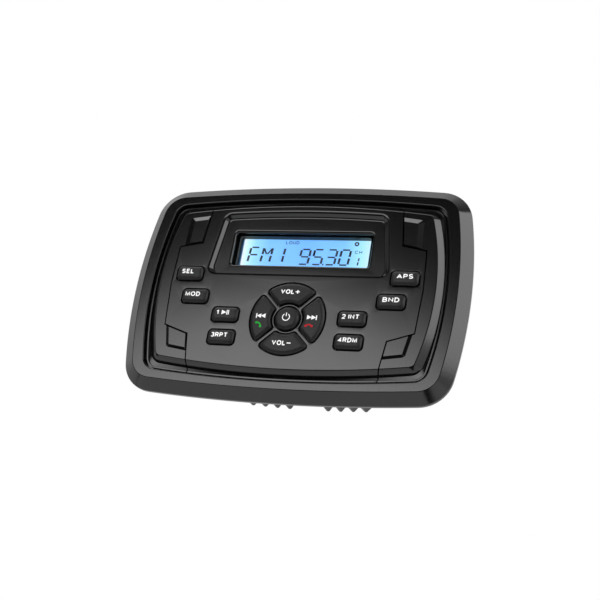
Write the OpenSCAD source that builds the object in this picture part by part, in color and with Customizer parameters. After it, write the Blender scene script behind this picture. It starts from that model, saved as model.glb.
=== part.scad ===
// Panel-mounted marine stereo: a bowed bezel round a faceplate with a display, keys and two lift-off
// side covers, and behind it a chassis with the boards, a ribbed heat sink and the rear sockets.
// Millimetres. The face points along -Y, +Z is up and x = 0 is the plane of symmetry.
// The origin is the centre of the bezel's back face, where the panel screws leave it.

/* [Bezel] */
// Depth from the front land to the back face
bezel_depth = 4.6; // [4.5:0.1:5.6]
// Radius of the bowed sides
bezel_side_bow = 215; // [190:5:300]
// Radius of the bowed top and bottom
bezel_top_bow = 800; // [650:10:1400]
// Radius of the corners
bezel_corner = 15; // [13:0.5:17]
// Width of the sloping outer wall
slope_run = 5.1; // [4:0.1:5.6]
// Depth of the sloping outer wall
slope_depth = 4.1; // [3:0.1:5]
// Width of the land at the sides
land_side = 4.6; // [3.6:0.1:5]
// Width of the land at the top and bottom
land_top = 3.5; // [2.6:0.1:4]
// Radius of the opening's bowed sides
opening_side_bow = 170; // [150:5:210]
// Radius of the opening's bowed top and bottom
opening_top_bow = 610; // [540:10:800]
// Radius of the opening's corners
opening_corner = 6.5; // [5:0.5:8]
// Thickness of the flange behind the face
flange_thick = 1.6; // [1.4:0.1:1.8]
// Thickness of the foam gasket
gasket_thick = 1.5; // [1.2:0.1:3]
// Width of the foam gasket
gasket_width = 6.5; // [4:0.5:7]
// Depth of the rim's skirt, which hides the gasket
skirt_depth = 1.3; // [0.6:0.1:1.4]
// Thickness of the rim's skirt
skirt_wall = 1.1; // [0.8:0.1:1.4]
// Gap between the skirt and the gasket
gasket_gap = 0.4; // [0.2:0.1:1]

/* [Panel screws] */
// Distance of the holes from the chassis's sides
panel_hole_clear = 5.5; // [4.5:0.1:7]
// Distance between the holes up the face
panel_hole_z = 54.6; // [53:0.2:57]
// Radius of the holes
panel_hole_r = 2.3; // [1.6:0.1:2.5]

/* [Face] */
// Gap between the bezel and the face
face_gap = 1; // [0.6:0.1:1.4]
// Height of the face above the bezel's land
face_rise = 1; // [0.5:0.1:1.5]
// Width of the face's outer lip
lip_width = 0.7; // [0.5:0.1:0.9]
// Depth of the lip's edge below the land
lip_drop = 1.2; // [0.8:0.1:1.6]
// Distance from the lip to the edge of the raised plateau
channel_width = 3.05; // [2.9:0.05:3.6]
// Distance from the display recess to the plateau's top edge
top_margin = 2.6; // [2.4:0.1:4]
// Distance from the round key pad to the plateau's bottom edge
bottom_margin = 5.9; // [5:0.1:8]
// Distance from the seams to the plateau's sides
cover_side = 5.3; // [4.6:0.1:7]
// Height of the plateau's centre above the bezel's centre
plateau_rise = 0.6; // [0:0.1:0.7]
// Radius of the plateau's bowed sides
plateau_side_bow = 120; // [110:5:160]
// Radius of the plateau's bowed top and bottom
plateau_top_bow = 430; // [400:10:600]
// Radius of the plateau's corners
plateau_corner = 3; // [2:0.5:5]
// Width of the plateau's sloping edge
edge_run = 2.3; // [1.5:0.1:2.3]
// Depth of the plateau's sloping edge
edge_depth = 3; // [2.6:0.1:3.1]
// Thickness of the face's skin
skin = 1.8; // [1.5:0.1:1.8]
// Width of the solid rim under the plateau's edge
rim_width = 2.2; // [1.5:0.1:3]

/* [Side covers] */
// Width of the seam round each cover
seam = 0.4; // [0.3:0.05:0.6]
// Distance from the upper outer keys to the seams
seam_clear = 2.05; // [1.5:0.05:3]
// Step of the seams at the shoulders
seam_shoulder_step = 0.6; // [0.2:0.1:1.2]
// Step of the seams at the hips
seam_hip_step = 1.3; // [0.6:0.1:2]
// Length of the seams' upper arms
seam_upper_arm = 11.5; // [10.5:0.1:12.5]
// Length of the seams' lower arms
seam_lower_arm = 12.9; // [12:0.1:14]
// Lean of the seams above their upper arms
seam_top_lean = 3.1; // [2:0.1:4]
// Lean of the seams below their lower arms
seam_bottom_lean = 4; // [2:0.1:5]
// Height of the upper arms' inner ends
seam_upper_z = 20.9; // [20:0.1:21.5]
// Height of the upper arms' outer ends
seam_shoulder_z = 18.8; // [18:0.1:19.4]
// Height of the lower arms' outer ends
seam_hip_z = -20.2; // [-21:0.1:-19.6]
// Height of the lower arms' inner ends
seam_lower_z = -24.2; // [-25:0.1:-23.8]
// Height of the corner pads above the face
pad_rise = 0.9; // [0.4:0.1:1.4]
// Width of the pads' sloping edges
pad_slope = 2; // [1:0.1:2.6]
// Radius of the pads' corners
pad_corner = 1.6; // [0.8:0.1:2]
// Clearance under a seated cover
cover_seat_gap = 0.15; // [0.1:0.05:0.3]
// Width of a cover's snap tabs
tab_width = 7; // [4:0.5:8]
// Thickness of a cover's snap tabs
tab_thick = 1.2; // [0.9:0.1:1.4]
// Clearance round the snap tabs
tab_gap = 0.35; // [0.3:0.05:0.5]

/* [Display] */
// Distance from the window to the recess's sides, at its bottom
recess_side = 9.7; // [9:0.1:11]
// Lean of the recess's sides
recess_lean = 3; // [2:0.1:4]
// Height of the recess
recess_height = 31.6; // [29:0.1:34]
// Distance from the round key pad to the recess
recess_gap = 3.7; // [3.4:0.1:6]
// Rise of the recess's bowed top edge
recess_bow = 1.2; // [0.8:0.1:1.3]
// Radius of the recess's corners
recess_corner = 4; // [2.5:0.1:5]
// Depth of the recess
recess_depth = 2; // [1.6:0.1:2.1]
// Width of the recess's sloping walls
recess_slope = 1.9; // [1:0.1:2.2]
// Thickness of the recess floor
recess_floor = 1.5; // [1.2:0.1:1.6]
// Width of the window
window_width = 64.6; // [62.6:0.2:65]
// Height of the window
window_height = 16.2; // [15.2:0.2:16.6]
// Height of the window's centre above the recess's bottom edge
window_up = 13.8; // [13:0.1:14.4]
// Radius of the window's corners
window_corner = 1.2; // [0.6:0.1:2]
// Thickness of the clear lens
lens_thick = 1.5; // [1:0.1:1.6]
// Overlap of the lens behind the window's edge
lens_overlap = 2; // [1.5:0.1:2.2]
// Depth of the display glass below the face
lcd_drop = 8; // [7.4:0.1:9]
// Thickness of the display glass
lcd_thick = 2; // [1.4:0.1:2.4]
// Thickness of the backlight plate
backlight_thick = 3.5; // [2:0.1:4]
// Wall of the display holder
holder_wall = 1.2; // [1:0.1:1.6]
// Step of the holder's opening inside the window
holder_step = 1.2; // [0.6:0.1:1.6]

/* [Keys] */
// Width of a rectangular key
key_width = 12.9; // [12.2:0.1:13.1]
// Height of a rectangular key
key_height = 7.1; // [6.4:0.1:7.3]
// Corner radius of a rectangular key
key_corner = 1.7; // [0.8:0.1:2.4]
// Height of a rectangular key above the face
key_proud = 1.4; // [1.2:0.1:2.4]
// Radius of a rectangular key's crowned top
key_crown = 16; // [12:1:40]
// Clearance round every key
key_gap = 0.35; // [0.3:0.05:0.5]
// Width of the keys' retaining rims
key_rim = 0.6; // [0.4:0.1:0.6]
// Thickness of the keys' retaining rims
key_rim_thick = 0.8; // [0.6:0.1:0.8]
// Travel of every key
key_travel = 0.8; // [0.5:0.1:0.8]
// Distance from the display recess to the upper outer keys
key_clear = 1.55; // [1.4:0.05:3]
// Drop of the upper outer keys below the recess's bottom edge
key_a_drop = 0.6; // [0:0.1:2]
// Inset of the lower outer keys from the upper ones
key_b_inset = 4.7; // [3:0.1:6]
// Drop of the lower outer keys below the upper ones
key_b_drop = 11.2; // [10:0.1:12.4]
// Inset of the preset keys from the lower outer keys
key_c_inset = 16.1; // [15.4:0.1:17]
// Rise of the upper preset keys above the round pad's centre
key_c_rise = 0.9; // [0:0.1:2]
// Inset of the lower preset keys from the upper ones
key_d_inset = 0.1; // [0:0.1:1]
// Drop of the lower preset keys below the upper ones
key_d_drop = 10.8; // [9.6:0.1:11.4]

/* [Round key pad] */
// Outer radius of the four ring keys
ring_r = 17.5; // [16.6:0.1:17.7]
// Inner radius of the four ring keys
ring_inner_r = 7.4; // [7.2:0.1:8]
// Half-width of the gaps between the ring keys
ring_half_gap = 1.1; // [0.9:0.05:1.2]
// Corner radius of the ring keys
ring_corner = 1.3; // [0.6:0.1:2]
// Height of the ring keys above the face at the pad's centre
ring_proud = 1.5; // [1.4:0.1:2.6]
// Radius of the pad's crowned top
ring_crown = 240; // [140:10:400]
// Radius of the power key
power_r = 5.7; // [5.2:0.1:5.9]
// Height of the power key above the face
power_proud = 1.7; // [1.6:0.1:2.8]
// Radius of the power key's crowned top
power_crown = 30; // [24:1:60]

/* [Boards] */
// Thickness of the front board
front_board_thick = 1; // [0.8:0.1:1]
// Clearance between the front board and the bezel's flange
board_gap = 0.5; // [0.3:0.1:0.8]
// Radius of a switch dome
dome_r = 2.4; // [1.8:0.1:2.8]
// Height of a switch dome
dome_height = 0.5; // [0.4:0.05:0.6]
// Clearance between a pressed key and its dome
dome_gap = 0.3; // [0.2:0.05:0.4]
// Distance of the main board behind the bezel
main_board_y = 27.5; // [26:0.5:28.5]
// Thickness of the main board
main_board_thick = 1.6; // [1.2:0.1:1.6]
// Width of the ribbon cable
ribbon_width = 16; // [10:0.5:18]
// Thickness of the ribbon cable
ribbon_thick = 0.5; // [0.3:0.1:0.8]
// Length of a board connector's body
connector_length = 3.5; // [2.5:0.1:4]
// Width of the tuner module
tuner_width = 22; // [16:0.5:23]
// Height of the tuner module
tuner_height = 17; // [12:0.5:18]
// Depth of the tuner module
tuner_depth = 12; // [8:0.5:14]
// Radius of a capacitor can
can_r = 5; // [3:0.1:5.2]
// Length of a capacitor can
can_length = 14; // [8:0.5:16]
// Width of the amplifier chip
amp_width = 22; // [14:0.5:24]
// Height of the amplifier chip
amp_height = 13; // [9:0.5:14]

/* [Chassis] */
// Distance from the display holder to the chassis's sides
chassis_side = 8.9; // [8.4:0.1:10]
// Depth of the chassis behind the bezel
chassis_depth = 37.5; // [36.5:0.5:42]
// Distance from the bezel's opening to the chassis's top
chassis_top_inset = 7.65; // [7:0.05:8]
// Distance from the bezel's opening to the chassis's bottom
chassis_bottom_inset = 9.65; // [9:0.05:10]
// Wall of the chassis
chassis_wall = 1.5; // [1:0.1:1.8]
// Thickness of the chassis wings behind the key board
wing_thick = 1.2; // [0.8:0.1:1.4]
// Distance of the chassis screws from the chassis's sides
chassis_screw_inset = 4; // [3.6:0.1:4.4]
// Distance of the chassis screws from the chassis's top
chassis_screw_drop = 5.7; // [5.4:0.1:6]
// Radius of the chassis posts
post_r = 2.6; // [2.2:0.1:2.8]

/* [Heat sink] */
// Thickness of the back plate
sink_back = 3.5; // [2.5:0.1:5]
// Thickness of the bottom plate
sink_bottom = 2; // [1.5:0.1:2.4]
// Height of the ribs
rib_height = 2.9; // [2.4:0.1:4]
// Width of a rib at its foot
rib_width = 5.8; // [4:0.1:6]
// Radius of a rib's rounded edge
rib_tip = 1.3; // [0.8:0.1:1.4]
// Distance of the first rib of each group from the centre
rib_start = 9.3; // [9:0.1:9.6]
// Number of ribs in each group
rib_count = 4; // [2:1:4]
// Distance of the bottom ribs' front ends behind the bezel
rib_front = 8; // [4:0.5:20]

/* [Sockets] */
// Width of the wiring harness socket
harness_width = 11; // [9:0.2:11.4]
// Height of the wiring harness socket
harness_height = 26; // [20:0.5:28]
// Height of the harness socket's centre
harness_z = 8; // [4:0.5:12]
// Wall of the harness socket
harness_wall = 1.2; // [0.9:0.1:1.5]
// Depth of the harness socket's cavity
harness_cavity = 9; // [6:0.5:11]
// Distance of the side sockets from the chassis's sides
side_socket_inset = 7; // [6.8:0.1:7.4]
// Height of the antenna socket
antenna_z = 18; // [16:0.5:20]
// Outer radius of the antenna socket
antenna_r = 5.4; // [4.8:0.1:5.6]
// Inner radius of the antenna socket
antenna_bore_r = 4.2; // [3.4:0.1:4.4]
// Height of the upper line-out socket
line_out_z = -1; // [-2:0.5:1]
// Distance between the line-out sockets
line_out_pitch = 15; // [13:0.5:16]
// Radius of a line-out socket's barrel
line_out_r = 4.1; // [3.6:0.1:4.4]
// Radius of a line-out socket's centre hole
line_out_bore_r = 1.65; // [1.2:0.05:2]
// Width of the fuse holder
fuse_width = 8; // [7:0.2:9]
// Height of the fuse holder
fuse_height = 21; // [18:0.5:23]
// Height of the fuse holder's centre
fuse_z = 4; // [0:0.5:8]
// Length of the sockets behind the heat sink
socket_stand = 6; // [4:0.5:9]

/* [Fasteners] */
// Shank radius of the small screws
small_screw_r = 1.05; // [0.8:0.05:1.1]
// Head radius of the small screws
small_head_r = 2; // [1.6:0.1:2.1]
// Head height of the small screws
small_head = 1.2; // [0.8:0.1:1.3]
// Shank radius of the large screws
large_screw_r = 1.4; // [1.1:0.05:1.5]
// Head radius of the large screws
large_head_r = 2.5; // [2.2:0.1:2.6]
// Head height of the large screws
large_head = 1.5; // [1:0.1:1.6]
// Clearance round a screw shank
screw_gap = 0.1; // [0.05:0.05:0.2]

/* [Hidden] */

// Fineness of bowed outlines, round parts and rounded corners
bow_fn = 360;
round_fn = 48;
corner_fn = 32;
// Small step past a face when cutting
past = 0.5;

// Depths of the face's layers, measured along +Y
land_y = -bezel_depth;
face_y = land_y - face_rise;
slope_y = land_y + slope_depth;
lip_y = land_y + lip_drop;
channel_y = face_y + edge_depth;
skin_y = face_y + skin;
flange_y = -flange_thick;
recess_y = face_y + recess_depth;
lens_y = recess_y + recess_floor;
holder_y = lens_y + lens_thick;
lcd_y = face_y + lcd_drop;
backlight_y = lcd_y + lcd_thick;
holder_end_y = backlight_y + backlight_thick;
key_rest_gap = 0.2;
key_rim_y = skin_y + key_rest_gap;
key_back_y = key_rim_y + key_rim_thick;
board_y = key_back_y + key_travel + dome_gap + dome_height;
board_back_y = board_y + front_board_thick;
sunk_depth = large_head_r - large_screw_r;
rear_wall_y = chassis_depth - chassis_wall;
main_back_y = main_board_y + main_board_thick;
sink_y = chassis_depth + sink_back;
socket_end_y = sink_y + socket_stand;

// Heights, worked out from the round key pad and the display recess
plateau_half_height = (bottom_margin + 2 * ring_r + recess_gap + recess_height + top_margin) / 2;
ring_z = plateau_rise - plateau_half_height + bottom_margin + ring_r;
recess_bottom_z = ring_z + ring_r + recess_gap;
recess_top_z = recess_bottom_z + recess_height;
window_z = recess_bottom_z + window_up;
key_a_z = recess_bottom_z - key_a_drop;
key_b_z = key_a_z - key_b_drop;
key_c_z = ring_z + key_c_rise;
key_d_z = key_c_z - key_d_drop;

// Half-distances from the centre, worked out from the window
recess_bottom_x = window_width / 2 + recess_side;
recess_top_x = recess_bottom_x - recess_lean;
key_a_x = recess_bottom_x + key_clear + key_width / 2;
key_b_x = key_a_x - key_b_inset;
key_c_x = key_b_x - key_c_inset;
key_d_x = key_c_x - key_d_inset;
seam_side_x = key_a_x + key_width / 2 + seam_clear;
seam_shoulder_x = seam_side_x - seam_shoulder_step;
seam_hip_x = seam_side_x - seam_hip_step;
seam_upper_x = seam_side_x - seam_upper_arm;
seam_lower_x = seam_side_x - seam_lower_arm;
seam_top_x = seam_upper_x - seam_top_lean;
seam_bottom_x = seam_lower_x - seam_bottom_lean;

// Outlines: half-width, half-height, side bow radius, top bow radius, corner radius
function grow(o, d) = [for (v = o) v + d];
plateau_line = [
    seam_side_x + cover_side, plateau_half_height,
    plateau_side_bow, plateau_top_bow, plateau_corner
];
lip_inner_line = [
    plateau_line[0] + channel_width, plateau_line[1] + channel_width,
    opening_side_bow - face_gap - lip_width, opening_top_bow - face_gap - lip_width,
    opening_corner - face_gap - lip_width
];
lip_line = grow(lip_inner_line, lip_width);
opening_line = grow(lip_line, face_gap);
land_line = [
    opening_line[0] + land_side, opening_line[1] + land_top,
    bezel_side_bow - slope_run, bezel_top_bow - slope_run, bezel_corner - slope_run
];
bezel_line = grow(land_line, slope_run);
bezel_width = 2 * bezel_line[0];
bezel_height = 2 * bezel_line[1];

// Display holder and chassis, one inside the other
lens_room = 0.6;
holder_lip = 0.2;
holder_half_x = window_width / 2 + lens_overlap + lens_room + holder_wall;
holder_half_z = window_height / 2 + lens_overlap + holder_lip;
chassis_width = 2 * (holder_half_x + chassis_side);
chassis_top = opening_line[1] - chassis_top_inset;
chassis_bottom = opening_line[1] - chassis_bottom_inset;
chassis_screw_x = chassis_width / 2 - chassis_screw_inset;
chassis_screw_z = chassis_top - chassis_screw_drop;
panel_hole_x = chassis_width + 2 * panel_hole_clear;

// Reach of cutting shapes past the solids
reach = bezel_width;

// Centre of the arc that rounds an outline's upper right corner
function side_centre(o) = [o[0] - o[2], 0];
function top_centre(o) = [0, o[1] - o[3]];
function corner_centre(o) =
    let (
        a = side_centre(o),
        b = top_centre(o),
        ra = o[2] - o[4],
        rb = o[3] - o[4],
        d = norm(b - a),
        u = (b - a) / d,
        t = (ra * ra - rb * rb + d * d) / (2 * d),
        h = sqrt(ra * ra - t * t)
    ) a + t * u + h * [-u[1], u[0]];
function unit(v) = v / norm(v);

// Draws a shape in the face's plane and runs it from one depth to another
module run(front, back) {
    translate([0, back, 0]) rotate([90, 0, 0]) linear_extrude(back - front) children();
}

// A round bar along Y, or a cone when the two radii differ
module bar(x, z, front, back, r_front, r_back, fn = round_fn) {
    translate([x, back, z]) rotate([90, 0, 0])
        cylinder(h = back - front, r1 = r_back, r2 = r_front, $fn = fn);
}

// A block along Y
module block(x0, x1, front, back, z0, z1) {
    translate([x0, front, z0]) cube([x1 - x0, back - front, z1 - z0]);
}

// The same piece on the left and on the right
module both_sides() {
    children();
    mirror([1, 0, 0]) children();
}

// The same piece in all four corners
module four_corners() {
    both_sides() {
        children();
        mirror([0, 0, 1]) children();
    }
}

// The wedge of an outline's corner that its round replaces
module corner_wedge(o, front, back, flare) {
    c = corner_centre(o);
    u = unit(c - side_centre(o));
    v = unit(c - top_centre(o));
    size = 3 * (o[4] + flare);
    run(front, back) polygon([c, c + size * u, c + size * (u + v), c + size * v]);
}

// A bowed block with rounded corners, wider by flare at its back
module bowed(o, front, back, flare = 0) {
    c = corner_centre(o);
    difference() {
        intersection() {
            bar(o[0] - o[2], 0, front, back, o[2], o[2] + flare, bow_fn);
            bar(o[2] - o[0], 0, front, back, o[2], o[2] + flare, bow_fn);
            bar(0, o[1] - o[3], front, back, o[3], o[3] + flare, bow_fn);
            bar(0, o[3] - o[1], front, back, o[3], o[3] + flare, bow_fn);
        }
        four_corners() corner_wedge(o, front - past, back + past, flare);
    }
    four_corners() intersection() {
        bar(c[0], c[1], front, back, o[4], o[4] + flare);
        corner_wedge(o, front, back, flare);
    }
}

// A rectangle with round corners
module rounded(w, h, r) {
    square([w - 2 * r, h], center = true);
    square([w, h - 2 * r], center = true);
    for (x = [r - w / 2, w / 2 - r], y = [r - h / 2, h / 2 - r])
        translate([x, y]) circle(r, $fn = corner_fn);
}

// Bezel: sloping wall, land, opening, flange with screw holes and slots for the covers' tabs
key_room = 1.5;
wing_room = 3.45;
key_wing_x = key_a_x + key_width / 2 + key_rim + key_room;
key_wing_z = key_height / 2 - key_b_z + wing_room;
throat_room = 1.5;
throat_drop = 4.3;
holder_room = 0.5;
chassis_cover = 1;
throat_x = chassis_width / 2 - chassis_wall - throat_room;
throat_z = chassis_screw_z - throat_drop;
throat_narrow_x = holder_half_x + holder_room;
throat_narrow_z = chassis_bottom - chassis_cover;
tab_inset = 0.6;
tab_corner_inset_x = 9.8;
tab_corner_inset_z = 2.2;
tab_x = plateau_line[0] - tab_inset;
tab_corner_x = plateau_line[0] - tab_corner_inset_x;
tab_corner_z = plateau_line[1] - tab_corner_inset_z;
faceplate_screw_x = 22;
faceplate_screw_out = 2.8;
faceplate_screw_top = chassis_top + faceplate_screw_out;
faceplate_screw_bottom = -chassis_bottom - faceplate_screw_out;

module flange_opening(gap) {
    square([2 * (key_wing_x - gap), 2 * (key_wing_z - gap)], center = true);
    square([2 * (throat_x - gap), 2 * (throat_z - gap)], center = true);
    square([2 * (throat_narrow_x - gap), 2 * (throat_narrow_z - gap)], center = true);
}

module faceplate_screw_spots() {
    for (x = [-faceplate_screw_x, faceplate_screw_x], z = [faceplate_screw_bottom, faceplate_screw_top])
        translate([x, 0, z]) children();
}

module tab_shapes(gap) {
    both_sides() {
        translate([tab_x, 0]) square([tab_thick + 2 * gap, tab_width + 2 * gap], center = true);
        for (s = [-1, 1]) translate([tab_corner_x, s * tab_corner_z])
            square([tab_width + 2 * gap, tab_thick + 2 * gap], center = true);
    }
}

module bezel_frame() color("#2b2b2c") difference() {
    union() {
        bowed(land_line, land_y, slope_y, slope_run);
        bowed(bezel_line, slope_y, skirt_depth);
    }
    bowed(opening_line, land_y - past, flange_y);
    bowed(grow(bezel_line, -skirt_wall), 0, skirt_depth + past);
    run(flange_y - past, past) {
        flange_opening(0);
        tab_shapes(tab_gap);
    }
    four_corners()
        bar(panel_hole_x / 2, panel_hole_z / 2, flange_y - past, past, panel_hole_r, panel_hole_r);
    four_corners() {
        bar(chassis_screw_x, chassis_screw_z, flange_y - past, past,
            large_screw_r + screw_gap, large_screw_r + screw_gap);
        bar(chassis_screw_x, chassis_screw_z, flange_y, flange_y + sunk_depth,
            large_head_r + screw_gap, large_screw_r + screw_gap);
    }
    faceplate_screw_spots() bar(0, 0, flange_y - past, past,
        small_screw_r + screw_gap, small_screw_r + screw_gap);
}

module panel_gasket() color("#1c1c1c") difference() {
    bowed(grow(bezel_line, -skirt_wall - gasket_gap), 0, gasket_thick);
    bowed(grow(bezel_line, -skirt_wall - gasket_gap - gasket_width), -past, gasket_thick + past);
}

// Face shell, shared by the faceplate and the two covers: plateau, sloping edge, channel and lip
module face_shell() difference() {
    union() {
        difference() {
            bowed(lip_line, lip_y, flange_y);
            bowed(lip_inner_line, lip_y - past, channel_y);
        }
        translate([0, 0, plateau_rise]) bowed(plateau_line, face_y, channel_y, edge_run);
    }
    translate([0, 0, plateau_rise]) bowed(grow(plateau_line, -rim_width), skin_y, flange_y + past);
}

// Seam on the right side of the face, moved outwards by d
function seam_line(d) = [
    [seam_top_x + d, bezel_height / 2],
    [seam_upper_x + d, seam_upper_z + d],
    [seam_shoulder_x + d, seam_shoulder_z + d],
    [seam_side_x + d, 0],
    [seam_hip_x + d, seam_hip_z - d],
    [seam_lower_x + d, seam_lower_z - d],
    [seam_bottom_x + d, -bezel_height / 2]
];

module faceplate_area() {
    right = seam_line(-seam / 2);
    left = [for (i = [len(right) - 1 : -1 : 0]) [-right[i][0], right[i][1]]];
    polygon(concat(right, left));
}

module cover_area() {
    polygon(concat(seam_line(seam / 2), [[reach, -bezel_height / 2], [reach, bezel_height / 2]]));
}

// Display recess: a bowed trapezoid with sloping walls
module recess_outline(inset) {
    r = recess_corner - inset;
    top = recess_top_z - recess_bow - recess_corner;
    bottom = recess_bottom_z + recess_corner;
    hull() {
        for (s = [-1, 1]) {
            translate([s * (recess_top_x - recess_corner), top]) circle(r, $fn = corner_fn);
            translate([s * (recess_bottom_x - recess_corner), bottom]) circle(r, $fn = corner_fn);
            translate([s * recess_top_x / 3, top + recess_bow]) circle(r, $fn = corner_fn);
        }
    }
}

module recess_cut() hull() {
    film = 0.01;
    run(face_y - past, face_y) recess_outline(0);
    run(recess_y - film, recess_y) recess_outline(recess_slope);
}

pan_side = 0.2;
pan_drop = 1.8;
pan_setback = 0.4;
pan_x = recess_bottom_x + pan_side;
pan_bottom = recess_bottom_z - pan_drop;
pan_top = recess_top_z - pan_setback;

module ring_key_shape(gap) {
    half_gap = ring_half_gap - gap;
    apex = half_gap * sqrt(2);
    offset(r = ring_corner, $fn = corner_fn) offset(delta = -ring_corner) intersection() {
        difference() {
            circle(ring_r + gap, $fn = 2 * round_fn);
            circle(ring_inner_r - gap, $fn = 2 * round_fn);
        }
        polygon([[0, apex], [reach, apex + reach], [-reach, apex + reach]]);
    }
}

module place_ring_keys() {
    for (a = [0, 90, 180, 270]) translate([0, ring_z]) rotate(a) children();
}

rect_key_places = [
    [key_a_x, key_a_z], [key_b_x, key_b_z], [key_c_x, key_c_z], [key_d_x, key_d_z]
];

module key_openings() {
    for (p = rect_key_places, s = [-1, 1]) translate([s * p[0], p[1]])
        rounded(key_width + 2 * key_gap, key_height + 2 * key_gap, key_corner + key_gap);
    place_ring_keys() ring_key_shape(key_gap);
    translate([0, ring_z]) circle(power_r + key_gap, $fn = round_fn);
}

board_boss_r = 2;
thread_room = 0.3;
faceplate_screw_reach = 1.7;
board_screw_reach = 2.4;
board_boss_places = [
    [throat_x - 2.4 * board_boss_r, recess_bottom_z - 1.3 * board_boss_r],
    [throat_x - 1.3 * board_boss_r, key_d_z + 1.65 * board_boss_r]
];

module board_boss_spots() {
    for (p = board_boss_places, s = [-1, 1]) translate([s * p[0], 0, p[1]]) children();
}

module faceplate() color("#303031") {
    difference() {
        union() {
            intersection() {
                face_shell();
                run(face_y - past, flange_y + past) faceplate_area();
            }
            block(-pan_x, pan_x, skin_y, lens_y, pan_bottom, pan_top);
            board_boss_spots() bar(0, 0, skin_y, board_y, board_boss_r, board_boss_r);
        }
        recess_cut();
        run(recess_y - past, lens_y + past) translate([0, window_z])
            rounded(window_width, window_height, window_corner);
        run(face_y - past, key_rim_y) key_openings();
        board_boss_spots() bar(0, 0, board_back_y - board_screw_reach - front_board_thick, board_y + past,
            small_screw_r + screw_gap, small_screw_r + screw_gap);
        faceplate_screw_spots() bar(0, 0, flange_y - faceplate_screw_reach, flange_y + past,
            small_screw_r + screw_gap, small_screw_r + screw_gap);
    }
}

// Raised corner pads of the right cover, cut off by the seam
module pad(points, inner_points) hull() {
    film = 0.01;
    run(face_y, face_y + pad_rise) offset(r = pad_corner, $fn = corner_fn)
        offset(delta = -pad_corner) polygon(points);
    run(face_y - pad_rise, face_y - pad_rise + film) offset(r = pad_corner, $fn = corner_fn)
        offset(delta = -pad_corner) polygon(inner_points);
}

pad_up_inset_x = 2.6;
pad_up_inset_z = 5.8;
pad_low_inset_x = 4.2;
pad_low_inset_z = 8.4;
pad_out_x = seam_side_x - pad_up_inset_x;
pad_up_z = plateau_line[1] - pad_up_inset_z;
pad_low_x = seam_side_x - pad_low_inset_x;
pad_low_z = pad_low_inset_z - plateau_line[1];
pad_up_flare = 0.7;
pad_low_flare = 3.2;
pad_tilt = 2.6;
pad_under_seam = 4;
pad_seam_x = seam_bottom_x - pad_under_seam;
pad_mid_z = seam_shoulder_z - pad_under_seam;

module right_pads() {
    pad([[pad_seam_x, pad_mid_z], [pad_out_x, pad_mid_z], [pad_out_x - pad_up_flare, pad_up_z],
            [pad_seam_x, pad_up_z + pad_tilt]],
        [[pad_seam_x, pad_mid_z], [pad_out_x - pad_slope, pad_mid_z],
            [pad_out_x - pad_up_flare - pad_slope, pad_up_z - pad_slope],
            [pad_seam_x, pad_up_z + pad_tilt - pad_slope]]);
    pad([[pad_seam_x, -pad_mid_z], [pad_low_x + pad_low_flare, -pad_mid_z], [pad_low_x, pad_low_z],
            [pad_seam_x, pad_low_z - pad_tilt]],
        [[pad_seam_x, -pad_mid_z], [pad_low_x + pad_low_flare - pad_slope, -pad_mid_z],
            [pad_low_x - pad_slope, pad_low_z + pad_slope],
            [pad_seam_x, pad_low_z - pad_tilt + pad_slope]]);
}

module cover_body() {
    cover_back = flange_y - cover_seat_gap;
    intersection() {
        union() {
            face_shell();
            right_pads();
        }
        run(face_y - 2 * pad_rise, cover_back) cover_area();
    }
    intersection() {
        run(channel_y, -cover_seat_gap) tab_shapes(0);
        run(channel_y, 0) cover_area();
    }
}

module side_cover_right() color("#323233") cover_body();

module side_cover_left() color("#323233") mirror([1, 0, 0]) cover_body();

// Display: lens, holder, glass and backlight
lcd_border_x = 1.6;
lcd_border_z = 1;
lcd_half_x = window_width / 2 + lcd_border_x;
lcd_half_z = window_height / 2 + lcd_border_z;
pocket_gap = 0.1;

module display_lens() color([0.75, 0.8, 0.85, 0.35]) translate([0, 0, window_z])
    run(lens_y, holder_y)
        rounded(window_width + 2 * lens_overlap, window_height + 2 * lens_overlap, window_corner);

module lcd_holder() color("#1a1a1a") difference() {
    block(-holder_half_x, holder_half_x, holder_y, holder_end_y,
        window_z - holder_half_z, window_z + holder_half_z);
    run(holder_y - past, lcd_y + past) translate([0, window_z])
        rounded(window_width - 2 * holder_step, window_height - holder_step, window_corner);
    block(-lcd_half_x - pocket_gap, lcd_half_x + pocket_gap, lcd_y, holder_end_y + past,
        window_z - lcd_half_z - pocket_gap, window_z + lcd_half_z + pocket_gap);
}

module lcd_panel() color("#7fc0ff")
    block(-lcd_half_x, lcd_half_x, lcd_y, backlight_y, window_z - lcd_half_z, window_z + lcd_half_z);

module lcd_backlight() color("#e8f2ff")
    block(-lcd_half_x, lcd_half_x, backlight_y, holder_end_y,
        window_z - lcd_half_z, window_z + lcd_half_z);

// Keys: a crowned cap through the face, with a retaining rim behind it
module rect_key(x, z) color("#262627") translate([x, 0, z]) {
    front = face_y - key_proud;
    intersection() {
        run(front, key_back_y) rounded(key_width, key_height, key_corner);
        translate([0, front + key_crown, 0]) rotate([0, 90, 0])
            cylinder(h = 2 * key_width, r = key_crown, center = true, $fn = bow_fn);
    }
    run(key_rim_y, key_back_y)
        rounded(key_width + 2 * key_rim + 2 * key_gap, key_height + 2 * key_rim, key_corner);
}

module ring_key(a) color("#262627") {
    front = face_y - ring_proud;
    translate([0, 0, ring_z]) rotate([0, -a, 0]) {
        intersection() {
            run(front, key_back_y) ring_key_shape(0);
            translate([0, front + ring_crown, 0]) sphere(ring_crown, $fn = bow_fn);
        }
        run(key_rim_y, key_back_y) ring_key_shape(key_rim);
    }
}

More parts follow.
